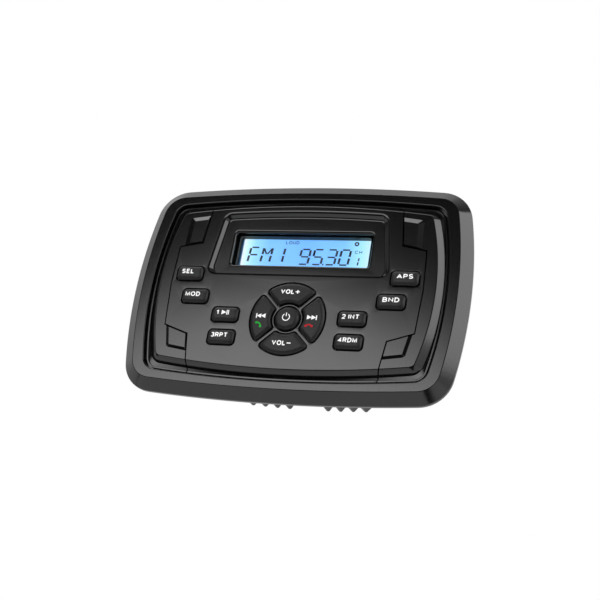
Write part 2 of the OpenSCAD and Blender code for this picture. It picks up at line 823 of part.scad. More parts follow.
module button_select() rect_key(-key_a_x, key_a_z);
module button_mode() rect_key(-key_b_x, key_b_z);
module button_one() rect_key(-key_c_x, key_c_z);
module button_three() rect_key(-key_d_x, key_d_z);
module button_scan() rect_key(key_a_x, key_a_z);
module button_band() rect_key(key_b_x, key_b_z);
module button_two() rect_key(key_c_x, key_c_z);
module button_four() rect_key(key_d_x, key_d_z);
module button_volume_up() ring_key(0);
module button_previous() ring_key(90);
module button_volume_down() ring_key(180);
module button_next() ring_key(270);

module button_power() color("#262627") translate([0, 0, ring_z]) {
    front = face_y - power_proud;
    intersection() {
        bar(0, 0, front, key_back_y, power_r, power_r);
        translate([0, front + power_crown, 0]) sphere(power_crown, $fn = bow_fn);
    }
    bar(0, 0, key_rim_y, key_back_y, power_r + key_rim, power_r + key_rim);
}

// Front board with a switch dome under every key
display_room_z = window_z - holder_half_z - board_gap;
display_room_x = holder_half_x + board_gap;
dome_ring_r = (ring_r + ring_inner_r) / 2;

module front_board() color("#1f5a34") difference() {
    run(board_y, board_back_y) difference() {
        flange_opening(board_gap);
        translate([-display_room_x, display_room_z]) square([2 * display_room_x, reach]);
        translate([-reach, key_wing_z]) square([2 * reach, reach]);
    }
    board_boss_spots() bar(0, 0, board_y - past, board_back_y + past,
        small_screw_r + screw_gap, small_screw_r + screw_gap);
}

module dome(x, z) bar(x, z, board_y - dome_height, board_y, dome_r / 2, dome_r);

module snap_domes() color("#c9c9c4") {
    for (p = rect_key_places, s = [-1, 1]) dome(s * p[0], p[1]);
    for (a = [0, 90, 180, 270]) dome(dome_ring_r * sin(a), ring_z + dome_ring_r * cos(a));
    dome(0, ring_z);
}

// Link between the boards
ribbon_x = -16;
connector_height = 4;
connector_margin = 2;
connector_room = 1;
main_post_x = 22;
main_post_drop = 3.8;
main_post_z = chassis_screw_z - main_post_drop;
ribbon_z = small_head_r + connector_room + connector_height / 2 - main_post_z;

module board_connectors() color("#e6e2d6") {
    half = ribbon_width / 2 + connector_margin;
    for (y = [board_back_y, main_board_y - connector_length])
        block(ribbon_x - half, ribbon_x + half, y, y + connector_length,
            ribbon_z - connector_height / 2, ribbon_z + connector_height / 2);
}

module ribbon_cable() color("#d9dde0")
    block(ribbon_x - ribbon_width / 2, ribbon_x + ribbon_width / 2,
        board_back_y + connector_length, main_board_y - connector_length,
        ribbon_z - ribbon_thick / 2, ribbon_z + ribbon_thick / 2);

// Main board and its parts
main_margin = 1;
tuner_x = -36;
tuner_z = 5;
can_places = [[16, -14], [29, -14], [29, -1]];
amp_room = 0.6;
amp_z = amp_height + post_r + amp_room - main_post_z;

module main_board() color("#1f5a34") difference() {
    inner_x = chassis_width / 2 - chassis_wall - main_margin;
    block(-inner_x, inner_x, main_board_y, main_back_y,
        main_margin + chassis_wall - chassis_bottom, chassis_top - chassis_wall - main_margin);
    four_corners() block(chassis_screw_x - post_r - main_margin, reach, main_board_y - past,
        main_back_y + past, chassis_screw_z - post_r - main_margin, reach);
    four_corners() bar(main_post_x, main_post_z, main_board_y - past, main_back_y + past,
        small_screw_r + screw_gap, small_screw_r + screw_gap);
}

module tuner_module() color("#b9bcc0")
    block(tuner_x, tuner_x + tuner_width, main_board_y - tuner_depth, main_board_y,
        tuner_z, tuner_z + tuner_height);

module capacitors() color("#2a3550")
    for (p = can_places) bar(p[0], p[1], main_board_y - can_length, main_board_y, can_r, can_r);

module amplifier_chip() color("#1b1b1b")
    block(amp_x, amp_x + amp_width, main_back_y, rear_wall_y, amp_z - amp_height, amp_z);

// Rear openings shared by the chassis and the heat sink
hole_gap = 0.4;
line_out_collar = 1;
side_socket_x = chassis_width / 2 - side_socket_inset;
amp_side_room = 1.9;
amp_x = side_socket_x - line_out_r - line_out_collar - amp_side_room - amp_width;

module rear_openings(front, back) {
    block(-harness_width / 2 - hole_gap, harness_width / 2 + hole_gap, front, back,
        harness_z - harness_height / 2 - hole_gap, harness_z + harness_height / 2 + hole_gap);
    bar(side_socket_x, antenna_z, front, back, antenna_r + hole_gap, antenna_r + hole_gap);
    for (i = [0, 1]) bar(side_socket_x, line_out_z - i * line_out_pitch, front, back,
        line_out_r + line_out_collar + hole_gap, line_out_r + line_out_collar + hole_gap);
    block(-side_socket_x - fuse_width / 2 - hole_gap, -side_socket_x + fuse_width / 2 + hole_gap,
        front, back, fuse_z - fuse_height / 2 - hole_gap, fuse_z + fuse_height / 2 + hole_gap);
}

chassis_screw_length = 9;
sink_screw_length = 8;
main_screw_hole = 5;
screw_end_room = 1;
wing_overlap = 2;
wing_gap = 0.2;
wing_y = board_back_y + wing_gap;

module rear_chassis() color("#3a3b3d") {
    difference() {
        union() {
            difference() {
                block(-chassis_width / 2, chassis_width / 2, 0, chassis_depth,
                    -chassis_bottom, chassis_top);
                block(chassis_wall - chassis_width / 2, chassis_width / 2 - chassis_wall,
                    -past, rear_wall_y, chassis_wall - chassis_bottom, chassis_top - chassis_wall);
            }
            four_corners()
                bar(chassis_screw_x, chassis_screw_z, 0, chassis_depth, post_r, post_r);
            four_corners()
                bar(main_post_x, main_post_z, main_back_y, chassis_depth, post_r, post_r);
            both_sides() block(chassis_width / 2 - chassis_wall, key_wing_x + wing_overlap,
                wing_y, wing_y + wing_thick, -key_wing_z - wing_overlap, key_wing_z + wing_overlap);
        }
        rear_openings(rear_wall_y - past, chassis_depth + past);
        four_corners() {
            bar(chassis_screw_x, chassis_screw_z, -past, chassis_screw_length,
                large_screw_r + screw_gap, large_screw_r + screw_gap);
            bar(chassis_screw_x, chassis_screw_z, chassis_depth - sink_screw_length,
                chassis_depth + past, large_screw_r + screw_gap, large_screw_r + screw_gap);
            bar(main_post_x, main_post_z, main_back_y - past, main_back_y + main_screw_hole,
                small_screw_r + screw_gap, small_screw_r + screw_gap);
        }
    }
}

// Heat sink: a bottom plate and two columns up the back, each with ribs and two screw ears
column_margin = 0.3;
socket_room = 2;
column_inner_x = rib_start - rib_width / 2 - column_margin;
column_outer_x = side_socket_x - antenna_r - socket_room;
rib_pitch = (column_outer_x - column_margin - rib_width / 2 - rib_start) / (rib_count - 1);
ear_half = 5;
rib_end = 2;

module rib_profile() {
    tip_z = rib_tip - rib_height;
    foot = rib_width / 2;
    lean = atan2(-tip_z, foot) - acos(rib_tip / norm([foot, tip_z]));
    side = [rib_tip * cos(lean), tip_z + rib_tip * sin(lean)];
    polygon([[-foot, past], [foot, past], [foot, 0], side, [-side[0], side[1]], [-foot, 0]]);
    translate([0, tip_z]) circle(rib_tip, $fn = corner_fn);
}

module heat_sink() color("#2e2f31") {
    bottom_z = -chassis_bottom - sink_bottom;
    half = chassis_width / 2;
    difference() {
        union() {
            block(-half, half, rib_front - rib_end, sink_y, bottom_z, -chassis_bottom);
            both_sides() {
                block(column_inner_x, column_outer_x, chassis_depth, sink_y, bottom_z, chassis_top);
                block(column_outer_x - past, half, chassis_depth, sink_y,
                    chassis_screw_z - ear_half, chassis_top);
                block(column_outer_x - past, half, chassis_depth, sink_y,
                    bottom_z, ear_half - chassis_screw_z);
                for (i = [0 : rib_count - 1]) translate([rib_start + i * rib_pitch, 0, bottom_z]) {
                    run(rib_front, sink_y + rib_height - rib_tip) rib_profile();
                    translate([0, sink_y, 0]) rotate([0, 0, 180])
                        linear_extrude(chassis_top - rib_end - bottom_z) rib_profile();
                }
            }
        }
        four_corners() bar(chassis_screw_x, chassis_screw_z, chassis_depth - past, sink_y + past,
            large_screw_r + screw_gap, large_screw_r + screw_gap);
    }
}

// Rear sockets, each standing on the main board
cavity_floor = 0.4;

module harness_socket() color("#e9e7df") {
    end = socket_end_y;
    floor_y = max(end - harness_cavity, chassis_depth + cavity_floor);
    difference() {
        block(-harness_width / 2, harness_width / 2, main_back_y, end,
            harness_z - harness_height / 2, harness_z + harness_height / 2);
        block(harness_wall - harness_width / 2, harness_width / 2 - harness_wall, floor_y, end + past,
            harness_z - harness_height / 2 + harness_wall, harness_z + harness_height / 2 - harness_wall);
    }
}

module antenna_socket() color("#c4c6c8") difference() {
    bar(side_socket_x, antenna_z, main_back_y, socket_end_y, antenna_r, antenna_r);
    bar(side_socket_x, antenna_z, chassis_depth + cavity_floor, socket_end_y + past,
        antenna_bore_r, antenna_bore_r);
}

line_out_stand = 2;
line_out_end_y = socket_end_y + line_out_stand;

module line_out_sockets() color("#d3d3d0") for (i = [0, 1]) {
    z = line_out_z - i * line_out_pitch;
    collar_r = line_out_r + line_out_collar;
    difference() {
        union() {
            bar(side_socket_x, z, main_back_y, sink_y + line_out_collar, collar_r, collar_r);
            bar(side_socket_x, z, sink_y, line_out_end_y, line_out_r, line_out_r);
        }
        bar(side_socket_x, z, sink_y, line_out_end_y + past, line_out_bore_r, line_out_bore_r);
    }
}

fuse_wall = 1.3;
fuse_gap = 0.25;
fuse_stand = 3;
fuse_floor_y = sink_y - 2 * fuse_stand;
fuse_end_y = sink_y + fuse_stand;

module fuse_holder() color("#1d1d1d") difference() {
    block(-side_socket_x - fuse_width / 2, -side_socket_x + fuse_width / 2, main_back_y, fuse_end_y,
        fuse_z - fuse_height / 2, fuse_z + fuse_height / 2);
    block(-side_socket_x - fuse_width / 2 + fuse_wall, -side_socket_x + fuse_width / 2 - fuse_wall,
        fuse_floor_y, fuse_end_y + past,
        fuse_z - fuse_height / 2 + fuse_wall, fuse_z + fuse_height / 2 - fuse_wall);
}

module blade_fuse() color("#c8612a") {
    half_x = fuse_width / 2 - fuse_wall - fuse_gap;
    half_z = fuse_height / 2 - fuse_wall - fuse_gap;
    block(-side_socket_x - half_x, -side_socket_x + half_x, fuse_floor_y, fuse_end_y + fuse_stand,
        fuse_z - half_z, fuse_z + half_z);
}

// The cross recess of a screw head
module cross_slot(head_r, front, back) {
    half_length = head_r * 0.6;
    half_width = head_r / 8;
    block(-half_length, half_length, front, back, -half_width, half_width);
    block(-half_width, half_width, front, back, -half_length, half_length);
}

// Screws: a round head with a cross recess and a plain shank
module screw(r, head_r, head, length) {
    difference() {
        bar(0, 0, -head, 0, head_r, head_r);
        cross_slot(head_r, -head - past, -head / 2);
    }
    bar(0, 0, 0, length, r, r);
}

// A countersunk screw, flush with the plate it holds
module sunk_screw(r, head_r, length) {
    depth = head_r - r;
    difference() {
        bar(0, 0, 0, depth, head_r, r);
        cross_slot(head_r, -past, depth / 2);
    }
    bar(0, 0, depth, length, r, r);
}

module faceplate_screws() color("#8d8f92") faceplate_screw_spots() rotate([0, 0, 180])
    screw(small_screw_r, small_head_r, small_head, flange_thick + faceplate_screw_reach - thread_room);

module board_screws() color("#8d8f92") board_boss_spots() translate([0, board_back_y, 0])
    rotate([0, 0, 180]) screw(small_screw_r, small_head_r, small_head,
        front_board_thick + board_screw_reach - thread_room);

module chassis_screws() color("#8d8f92") four_corners()
    translate([chassis_screw_x, flange_y, chassis_screw_z])
        sunk_screw(large_screw_r, large_head_r, chassis_screw_length - screw_end_room + flange_thick);

module main_board_screws() color("#8d8f92") four_corners()
    translate([main_post_x, main_board_y, main_post_z])
        screw(small_screw_r, small_head_r, small_head,
            main_board_thick + main_screw_hole - screw_end_room);

module heat_sink_screws() color("#8d8f92") four_corners()
    translate([chassis_screw_x, sink_y, chassis_screw_z]) rotate([0, 0, 180])
        screw(large_screw_r, large_head_r, large_head,
            sink_back + sink_screw_length - screw_end_room);

bezel_frame();
panel_gasket();
faceplate();
side_cover_left();
side_cover_right();
display_lens();
lcd_holder();
lcd_panel();
lcd_backlight();
button_select();
button_mode();
button_one();
button_three();
button_scan();
button_band();
button_two();
button_four();
button_volume_up();
button_volume_down();
button_previous();
button_next();
button_power();
front_board();
snap_domes();
board_connectors();
ribbon_cable();
main_board();
tuner_module();
amplifier_chip();
capacitors();
rear_chassis();
heat_sink();
harness_socket();
antenna_socket();
line_out_sockets();
fuse_holder();
blade_fuse();
faceplate_screws();
board_screws();
chassis_screws();
main_board_screws();
heat_sink_screws();
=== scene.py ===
"""Marine stereo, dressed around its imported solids: moulded face, rubber keys, display and rear body."""
import math

import bmesh
import bpy
import numpy as np
from mathutils import Matrix, Vector
from mathutils.geometry import delaunay_2d_cdt


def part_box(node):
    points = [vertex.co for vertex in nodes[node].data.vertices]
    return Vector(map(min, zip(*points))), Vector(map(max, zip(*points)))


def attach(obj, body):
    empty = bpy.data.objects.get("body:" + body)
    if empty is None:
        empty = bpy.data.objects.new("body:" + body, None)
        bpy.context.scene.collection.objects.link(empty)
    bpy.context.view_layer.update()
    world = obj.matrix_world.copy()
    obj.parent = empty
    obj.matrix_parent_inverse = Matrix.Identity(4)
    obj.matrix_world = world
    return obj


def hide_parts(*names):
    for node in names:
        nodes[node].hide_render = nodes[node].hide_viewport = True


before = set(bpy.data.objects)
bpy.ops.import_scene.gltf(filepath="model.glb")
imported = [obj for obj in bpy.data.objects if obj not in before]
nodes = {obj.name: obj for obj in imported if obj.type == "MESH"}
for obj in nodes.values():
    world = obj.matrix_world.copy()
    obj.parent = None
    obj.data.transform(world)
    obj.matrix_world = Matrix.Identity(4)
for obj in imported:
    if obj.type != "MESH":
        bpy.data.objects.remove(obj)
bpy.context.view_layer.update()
MM = 0.001


def span(node):
    """Lowest and highest corner of a solid, in millimetres."""
    low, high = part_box(node)
    return np.array(low) / MM, np.array(high) / MM


# Depths in millimetres along +Y, from the solids
FACE_Y = span("faceplate")[0][1]
LAND_Y = span("bezel_frame")[0][1]
SKIRT_Y = span("bezel_frame")[1][1]
SLOPE_Y = LAND_Y + 4.1
LIP_Y = LAND_Y + 1.6
CHANNEL_Y = FACE_Y + 3.3
SKIN_Y = FACE_Y + 1.8
FLANGE_Y = -1.6
RECESS_Y = FACE_Y + 2.0
LENS_Y = span("display_lens")[0][1]
KEY_RIM_Y = SKIN_Y + 0.2
KEY_BACK_Y = span("button_select")[1][1]
GLASS_Y = span("lcd_panel")[0][1]

# Bowed outlines: half-width, half-height, radius of the sides, of the top and bottom, of the corners
BEZEL_HALF = span("bezel_frame")[1]
BEZEL = [BEZEL_HALF[0], BEZEL_HALF[2], 215.0, 800.0, 15.0]
SLOPE_RUN = 5.1
SKIRT_WALL = 1.1
LAND_SIDE = 4.6
LAND_TOP = 3.5
OPENING = [BEZEL[0] - SLOPE_RUN - LAND_SIDE, BEZEL[1] - SLOPE_RUN - LAND_TOP, 170.0, 610.0, 6.5]
# Gap between the face and the bezel, then the lip at the face's rim and the channel inside it
FACE_GAP = 0.9
LIP_WIDTH = 0.8
LIP_INNER = [v - FACE_GAP - LIP_WIDTH for v in OPENING]
CHANNEL_WIDTH = 3.05
CHANNEL_FLOOR = 0.15
PLATEAU = [LIP_INNER[0] - CHANNEL_WIDTH, LIP_INNER[1] - CHANNEL_WIDTH, 120.0, 430.0, 3.0]
# How far the plateau sits above the middle, and where its sloping edge bends
PLATEAU_RISE = 0.6
EDGE_BEND = (1.94, FACE_Y + 1.26)
# At its sides the edge stands farther out: depths and how far
SIDE_SWELL = ((1.2, 2.3, 3.3), (0.0, 0.6, 0.0))
# Width of the thick rim behind the edge
RIM_WIDTH = 2.2

# Seam round the right cover, from the top of the face to the bottom, and its width
SEAM = [(43.9, 52.75), (47.0, 20.9), (57.9, 18.8), (58.5, 0.0), (57.2, -20.2), (45.6, -24.2),
        (41.6, -52.75)]
SEAM_WIDTH = 0.52

# Edge rounding of the moulded pieces
BEZEL_ROUND = 0.7
SKIRT_ROUND = 0.2
LAND_ROUND = 0.5
PLATEAU_ROUND = 0.8
EDGE_ROUND = 8.0
LIP_ROUND = 0.12
CHANNEL_ROUND = 0.1
RECESS_ROUND = 1.8
RECESS_FILLET = 1.3
WINDOW_ROUND = 1.3
HOLE_ROUND = 0.3

# Display window, and where its lit part begins on the left
WINDOW_Z = (span("display_lens")[0][2] + span("display_lens")[1][2]) / 2
WINDOW_WIDTH = 64.6
WINDOW_HEIGHT = 16.2
WINDOW_CORNER = 1.2
LIT_LEFT = -29.9

# Keys: a gap to their openings, a cap drawn in a little from its wall, and a rim behind the face
KEY_WIDTH = 12.5
KEY_HEIGHT = 6.95
KEY_CORNER = 1.7
KEY_CROWN = 60.0
KEY_GAP = 0.35
KEY_SLIM = 0.15
KEY_RIM = 0.6
PAD_Z = (span("button_power")[0][2] + span("button_power")[1][2]) / 2
RING_OUTER = 17.1
RING_INNER = 7.4
RING_HALF_GAP = 1.1
RING_CORNER = 1.3
RING_CROWN = 240.0
RING_FRONT = FACE_Y - 1.5
POWER_R = 5.7
POWER_CROWN = 30.0
# How far in the last loops of each kind of key top lie
RECT_TOP = [2.8, 3.1]
RING_TOP = [3.0, 3.5]
POWER_TOP = [3.1, 3.8, 4.5]


def grown(outline, d):
    """An outline moved outwards by d: lengths and radii grow alike."""
    return [v + d for v in outline]


def turned(angles, centre, radius):
    """Points of an arc."""
    return np.stack([centre[0] + radius * np.cos(angles), centre[1] + radius * np.sin(angles)], 1)


def corner_centre(o):
    """Centre of the arc that rounds the outline's upper right corner."""
    side = np.array([o[0] - o[2], 0.0])
    top = np.array([0.0, o[1] - o[3]])
    reach_side, reach_top = o[2] - o[4], o[3] - o[4]
    apart = np.linalg.norm(top - side)
    along = (top - side) / apart
    t = (reach_side**2 - reach_top**2 + apart**2) / (2 * apart)
    return side + t * along + math.sqrt(reach_side**2 - t**2) * np.array([-along[1], along[0]])


def corner_angles(o):
    """Angles at which the corner's arc leaves the side and meets the top."""
    c = corner_centre(o)
    return math.atan2(c[1], c[0] - o[0] + o[2]), math.atan2(c[1] - o[1] + o[3], c[0])


def bowed(o, rise=0.0, side_steps=14, corner_steps=12, top_steps=22):
    """A closed bowed outline, from the middle of the right side over the top and round."""
    c = corner_centre(o)
    a, b = corner_angles(o)
    quarter = np.concatenate([
        turned(np.linspace(0, a, side_steps, endpoint=False), (o[0] - o[2], 0), o[2]),
        turned(np.linspace(a, b, corner_steps, endpoint=False), c, o[4]),
        turned(np.linspace(b, math.pi / 2, top_steps), (0, o[1] - o[3]), o[3]),
    ])
    left = quarter[::-1] * (-1, 1)
    half = np.concatenate([quarter, left[1:]])
    return np.concatenate([half, (half * (-1, -1))[1:-1]]) + (0, rise)


def seam(d):
    """The right seam, moved outwards by d."""
    lean = [(1, 0), (1, 1), (1, 1), (1, 0), (1, -1), (1, -1), (1, 0)]
    return np.array(SEAM) + d * np.array(lean)


def top_edge(o, x):
    """Height of an outline's top at x."""
    return o[1] - o[3] + np.sqrt(o[3] ** 2 - np.asarray(x) ** 2)


def seam_meets(o, rise, d, side):
    """Where an outline's top (side 1) or bottom (side -1) crosses the right seam."""
    line = seam(d)
    (x0, z0), (x1, z1) = (line[0], line[1]) if side > 0 else (line[6], line[5])
    x = x1
    for _ in range(12):
        z = top_edge(o, x) * side + rise
        x = x0 + (z - z0) / (z1 - z0) * (x1 - x0)
    return x


def middle_run(o, rise, side, steps=61):
    """The stretch of an outline's top or bottom between the two seams, from right to left."""
    x = np.linspace(1, -1, steps) * seam_meets(o, rise, -SEAM_WIDTH / 2, side)
    return np.stack([x, side * top_edge(o, x) + rise], 1)


def cover_run(o, rise, top_steps=10, corner_steps=12, side_steps=30):
    """The stretch of an outline from the right seam's top, round the side, to its bottom."""
    c = corner_centre(o)
    a, b = corner_angles(o)
    parts = []
    for side in (1, -1):
        x = seam_meets(o, rise, SEAM_WIDTH / 2, side)
        start = math.atan2(math.sqrt(o[3] ** 2 - x * x), x)
        parts.append(np.concatenate([
            turned(np.linspace(start, b, top_steps, endpoint=False), (0, o[1] - o[3]), o[3]),
            turned(np.linspace(b, a, corner_steps, endpoint=False), c, o[4]),
        ]))
    flank = turned(np.linspace(a, -a, side_steps), (o[0] - o[2], 0), o[2])
    lower = (parts[1] * (1, -1))[::-1]
    return np.concatenate([parts[0], flank, lower]) + (0, rise)


def rounded_path(points, radii, steps=5):
    """A polyline in (offset, depth) whose inner corners are rounded."""
    points = [np.array(p, float) for p in points]
    made = [points[0]]
    for before, here, after, radius in zip(points, points[1:], points[2:], radii):
        u = (before - here) / np.linalg.norm(before - here)
        w = (after - here) / np.linalg.norm(after - here)
        half = math.acos(np.clip(u @ w, -1, 1)) / 2
        centre = here + (u + w) / np.linalg.norm(u + w) * radius / math.sin(half)
        first = here + u * radius / math.tan(half) - centre
        last = here + w * radius / math.tan(half) - centre
        full = math.pi - 2 * half
        for t in np.linspace(0, 1, steps + 1):
            weights = math.sin((1 - t) * full), math.sin(t * full)
            made.append(centre + (first * weights[0] + last * weights[1]) / math.sin(full))
    made.append(points[-1])
    return made


def at_depth(points, y):
    """Points of the face's plane, set at a depth or at a depth for each."""
    return np.stack([points[:, 0], np.broadcast_to(y, len(points)), points[:, 1]], 1)


def loft(loops, closed=True):
    """A skin through loops of as many points each."""
    n = len(loops[0])
    last = n if closed else n - 1
    faces = []
    for i in range(len(loops) - 1):
        for j in range(last):
            k = (j + 1) % n
            faces.append((i * n + j, i * n + k, (i + 1) * n + k, (i + 1) * n + j))
    return np.concatenate(loops), faces


def inside(points, loop):
    """Which points a closed loop winds round."""
    x, z = points[:, 0][:, None], points[:, 1][:, None]
    x0, z0 = loop[:, 0], loop[:, 1]
    x1, z1 = np.roll(x0, -1), np.roll(z0, -1)
    rise = np.where(z1 == z0, 1e-12, z1 - z0)
    crosses = ((z0 > z) != (z1 > z)) & (x < x0 + (z - z0) / rise * (x1 - x0))
    return (crosses * np.sign(rise)).sum(1) != 0


def flat(y, outer, *holes):
    """A flat face at one depth, with holes."""
    loops = [outer, *holes]
    edges, start = [], 0
    for loop in loops:
        n = len(loop)
        edges += [(start + i, start + (i + 1) % n) for i in range(n)]
        start += n
    points = [Vector(p) for loop in loops for p in loop]
    made, _, triangles, *_ = delaunay_2d_cdt(points, edges, [], 0, 1e-7)
    made = np.array([tuple(p) for p in made])
    triangles = np.array(triangles)
    centres = made[triangles].mean(1)
    kept = inside(centres, outer)
    for hole in holes:
        kept &= ~inside(centres, hole)
    return at_depth(made, y), [tuple(t) for t in triangles[kept]]


def polygon(points):
    """One face through points in space."""
    return np.array(points), [tuple(range(len(points)))]


def mirrored(part):
    """A part of the right side, turned into one of the left."""
    points, faces = part
    return points * (-1, 1, 1), faces


def linked(name, data):
    """A new object in the scene."""
    obj = bpy.data.objects.new(name, data)
    bpy.context.scene.collection.objects.link(obj)
    return obj


def finished(obj, sharp_degrees):
    """Smooth shading that keeps flat faces flat and edges over an angle sharp, baked into the mesh."""
    obj.data.shade_smooth()
    obj.data.set_sharp_from_angle(angle=math.radians(sharp_degrees))
    weigh = obj.modifiers.new("weigh", "WEIGHTED_NORMAL")
    weigh.keep_sharp = True
    graph = bpy.context.evaluated_depsgraph_get()
    mesh = bpy.data.meshes.new_from_object(obj.evaluated_get(graph))
    obj.modifiers.remove(weigh)
    obj.data = mesh
    mesh.name = obj.name


def piece(name, parts, body, material, replaces=None, sharp_degrees=35):
    """One object in the frame made of parts in millimetres, riding on a body."""
    mesh = bpy.data.meshes.new(name)
    points, faces, start = [], [], 0
    for part_points, part_faces in parts:
        points.append(np.asarray(part_points, float) * MM)
        faces += [tuple(int(i) + start for i in f) for f in part_faces]
        start += len(part_points)
    mesh.from_pydata(np.concatenate(points), [], faces)
    work = bmesh.new()
    work.from_mesh(mesh)
    bmesh.ops.remove_doubles(work, verts=work.verts, dist=2e-7)
    bmesh.ops.dissolve_degenerate(work, edges=work.edges, dist=1e-8)
    bmesh.ops.recalc_face_normals(work, faces=work.faces)
    work.to_mesh(mesh)
    work.free()
    obj = linked(name, mesh)
    finished(obj, sharp_degrees)
    obj.data.materials.clear()
    obj.data.materials.append(material)
    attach(obj, body)
    if replaces:
        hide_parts(replaces)
    return obj


# Materials

def colour(code):
    """An sRGB hex colour as linear RGBA."""
    parts = [int(code[i:i + 2], 16) / 255 for i in (1, 3, 5)]
    return (*[c / 12.92 if c <= 0.04045 else ((c + 0.055) / 1.055) ** 2.4 for c in parts], 1.0)


def add(tree, kind, settings=None, inputs=None):
    """Adds a node with its settings; an input is a value or another node's output."""
    made = tree.nodes.new(kind)
    for key, value in (settings or {}).items():
        setattr(made, key, value)
    for key, value in (inputs or {}).items():
        if isinstance(value, bpy.types.NodeSocket):
            tree.links.new(value, made.inputs[key])
        else:
            made.inputs[key].default_value = value
    return made


# Depth of a grain as a share of its width
GRAIN_DEPTH = 0.125


def surface(name, low, high, grain_mm, rough, bump, cloud_mm=14.0, metallic=0.0, specular=0.5, extra=None):
    """A material whose colour drifts between two shades and whose gloss and bump follow a fine grain."""
    made = bpy.data.materials.new(name)
    made.use_nodes = True
    tree = made.node_tree
    shader = tree.nodes["Principled BSDF"]
    place = add(tree, "ShaderNodeTexCoord").outputs["Object"]
    cloud = add(tree, "ShaderNodeTexNoise", None,
                {"Vector": place, "Scale": 1 / (cloud_mm * MM), "Detail": 3.0, "Roughness": 0.55})
    grain = add(tree, "ShaderNodeTexNoise", None,
                {"Vector": place, "Scale": 1 / (grain_mm * MM), "Detail": 2.0, "Roughness": 0.6})
    tint = add(tree, "ShaderNodeMix", {"data_type": "RGBA"}, {"Factor": cloud.outputs["Fac"]})
    tint.inputs[6].default_value = colour(low)
    tint.inputs[7].default_value = colour(high)
    gloss = add(tree, "ShaderNodeMapRange", None,
                {"Value": grain.outputs["Fac"], "From Min": 0.3, "From Max": 0.7,
                 "To Min": rough[0], "To Max": rough[1]})
    relief = add(tree, "ShaderNodeBump", None,
                 {"Height": grain.outputs["Fac"], "Strength": bump,
                  "Distance": grain_mm * MM * GRAIN_DEPTH})
    tree.links.new(tint.outputs[2], shader.inputs["Base Color"])
    tree.links.new(gloss.outputs["Result"], shader.inputs["Roughness"])
    tree.links.new(relief.outputs["Normal"], shader.inputs["Normal"])
    shader.inputs["Metallic"].default_value = metallic
    if not metallic:
        shader.inputs["Specular IOR Level"].default_value = specular
    for key, value in (extra or {}).items():
        shader.inputs[key].default_value = value
    return made


# ABS moulded in a spark-eroded tool: a fine even grain that softens every reflection.
# Its real grain is about 0.2 mm. It is drawn coarser, as the other moulded grains are, so that it shows.
abs_black = surface("abs_black_moulded", "#0a0a0a", "#0d0d0e", 0.7, (0.13, 0.17), 0.05)
# The same ABS on the hidden display holder, much duller.
abs_dark = surface("abs_dark_moulded", "#0c0c0c", "#101011", 0.7, (0.42, 0.5), 0.12)
# Silicone rubber from a textured mould: black, with a much softer gloss than the face.
rubber = surface("silicone_rubber_moulded", "#0b0b0c", "#101011", 0.55, (0.46, 0.56), 0.5, specular=0.4)
# Pad-printed ink: a thin even coat with a soft gloss.
ink_white = surface("pad_print_ink_white", "#f9f9f7", "#ffffff", 0.5, (0.5, 0.6), 0.05)
ink_green = surface("pad_print_ink_green", "#109a28", "#17ac31", 0.5, (0.5, 0.6), 0.05, specular=0.15)
ink_red = surface("pad_print_ink_red", "#a60b15", "#b6101a", 0.5, (0.5, 0.6), 0.05, specular=0.15)
# Polyester powder coat on steel sheet: low gloss with orange peel about 1.5 mm wide.
powder_coat = surface("powder_coated_steel", "#1f2022", "#26272a", 1.5, (0.42, 0.52), 0.35)
# Black anodised aluminium: a satin metal sheen, slightly grainy.
anodised = surface("anodised_aluminium_black", "#131314", "#1a1a1b", 0.8, (0.34, 0.46), 0.18, metallic=0.5)
# Zinc-plated steel: bright with a soft blueish blur and faint stains.
zinc = surface("zinc_plated_steel", "#a3a7ab", "#c2c5c8", 0.6, (0.24, 0.36), 0.08, 4.0, metallic=1.0)
# Nickel-plated brass, barrel polished: a warm, fairly clear mirror.
nickel = surface("nickel_plated_brass", "#b9b6ae", "#cfccc4", 0.6, (0.16, 0.26), 0.06, 5.0, metallic=1.0)
# Tin-plated contact metal, drawn: pale, with a blurred mirror.
tin = surface("tin_plated_contact", "#b9babb", "#d0d1d2", 0.4, (0.28, 0.38), 0.10, 3.0, metallic=1.0)
# Natural nylon: ivory, waxy, slightly see-through.
nylon = surface("nylon_ivory_moulded", "#dedacb", "#e8e5d8", 0.8, (0.4, 0.52), 0.10,
                extra={"Subsurface Weight": 0.15, "Subsurface Radius": (0.002, 0.0015, 0.001)})
# Closed-cell foam: black and matte, with fine pores.
foam = surface("closed_cell_foam", "#121213", "#1d1d1e", 0.9, (0.85, 0.95), 0.9, 5.0, specular=0.2)
# Glass-epoxy board under lacquer: deep green with a soft gloss.
board_green = surface("circuit_board_lacquer", "#12402a", "#185236", 1.2, (0.3, 0.42), 0.15, 6.0)
# Polyester film over flat wires: pale grey with a soft gloss.
ribbon = surface("polyester_ribbon", "#c3c8cc", "#d5d9dc", 1.0, (0.35, 0.45), 0.1, 4.0)
# Shrink sleeve of a capacitor: dark blue with a soft gloss.
sleeve = surface("capacitor_sleeve", "#1b2440", "#232e4e", 0.6, (0.3, 0.4), 0.06, 6.0)
# Moulded epoxy of a chip body: black and dull.
epoxy = surface("moulded_epoxy", "#151516", "#1d1d1e", 0.5, (0.5, 0.62), 0.2, 4.0)
# Moulded polycarbonate of a blade fuse: orange and glossy.
fuse_orange = surface("polycarbonate_orange", "#b9521c", "#cc6226", 0.8, (0.14, 0.22), 0.04, 6.0,
                      extra={"Coat Weight": 0.3})
# Moulded acrylic diffuser behind the glass: milky white.
acrylic = surface("acrylic_diffuser", "#dfeaf5", "#eef5fb", 0.8, (0.4, 0.5), 0.05)

# Index of the window: below polycarbonate's 1.58, to stand in for a coat that mirrors less
LENS_INDEX = 1.2


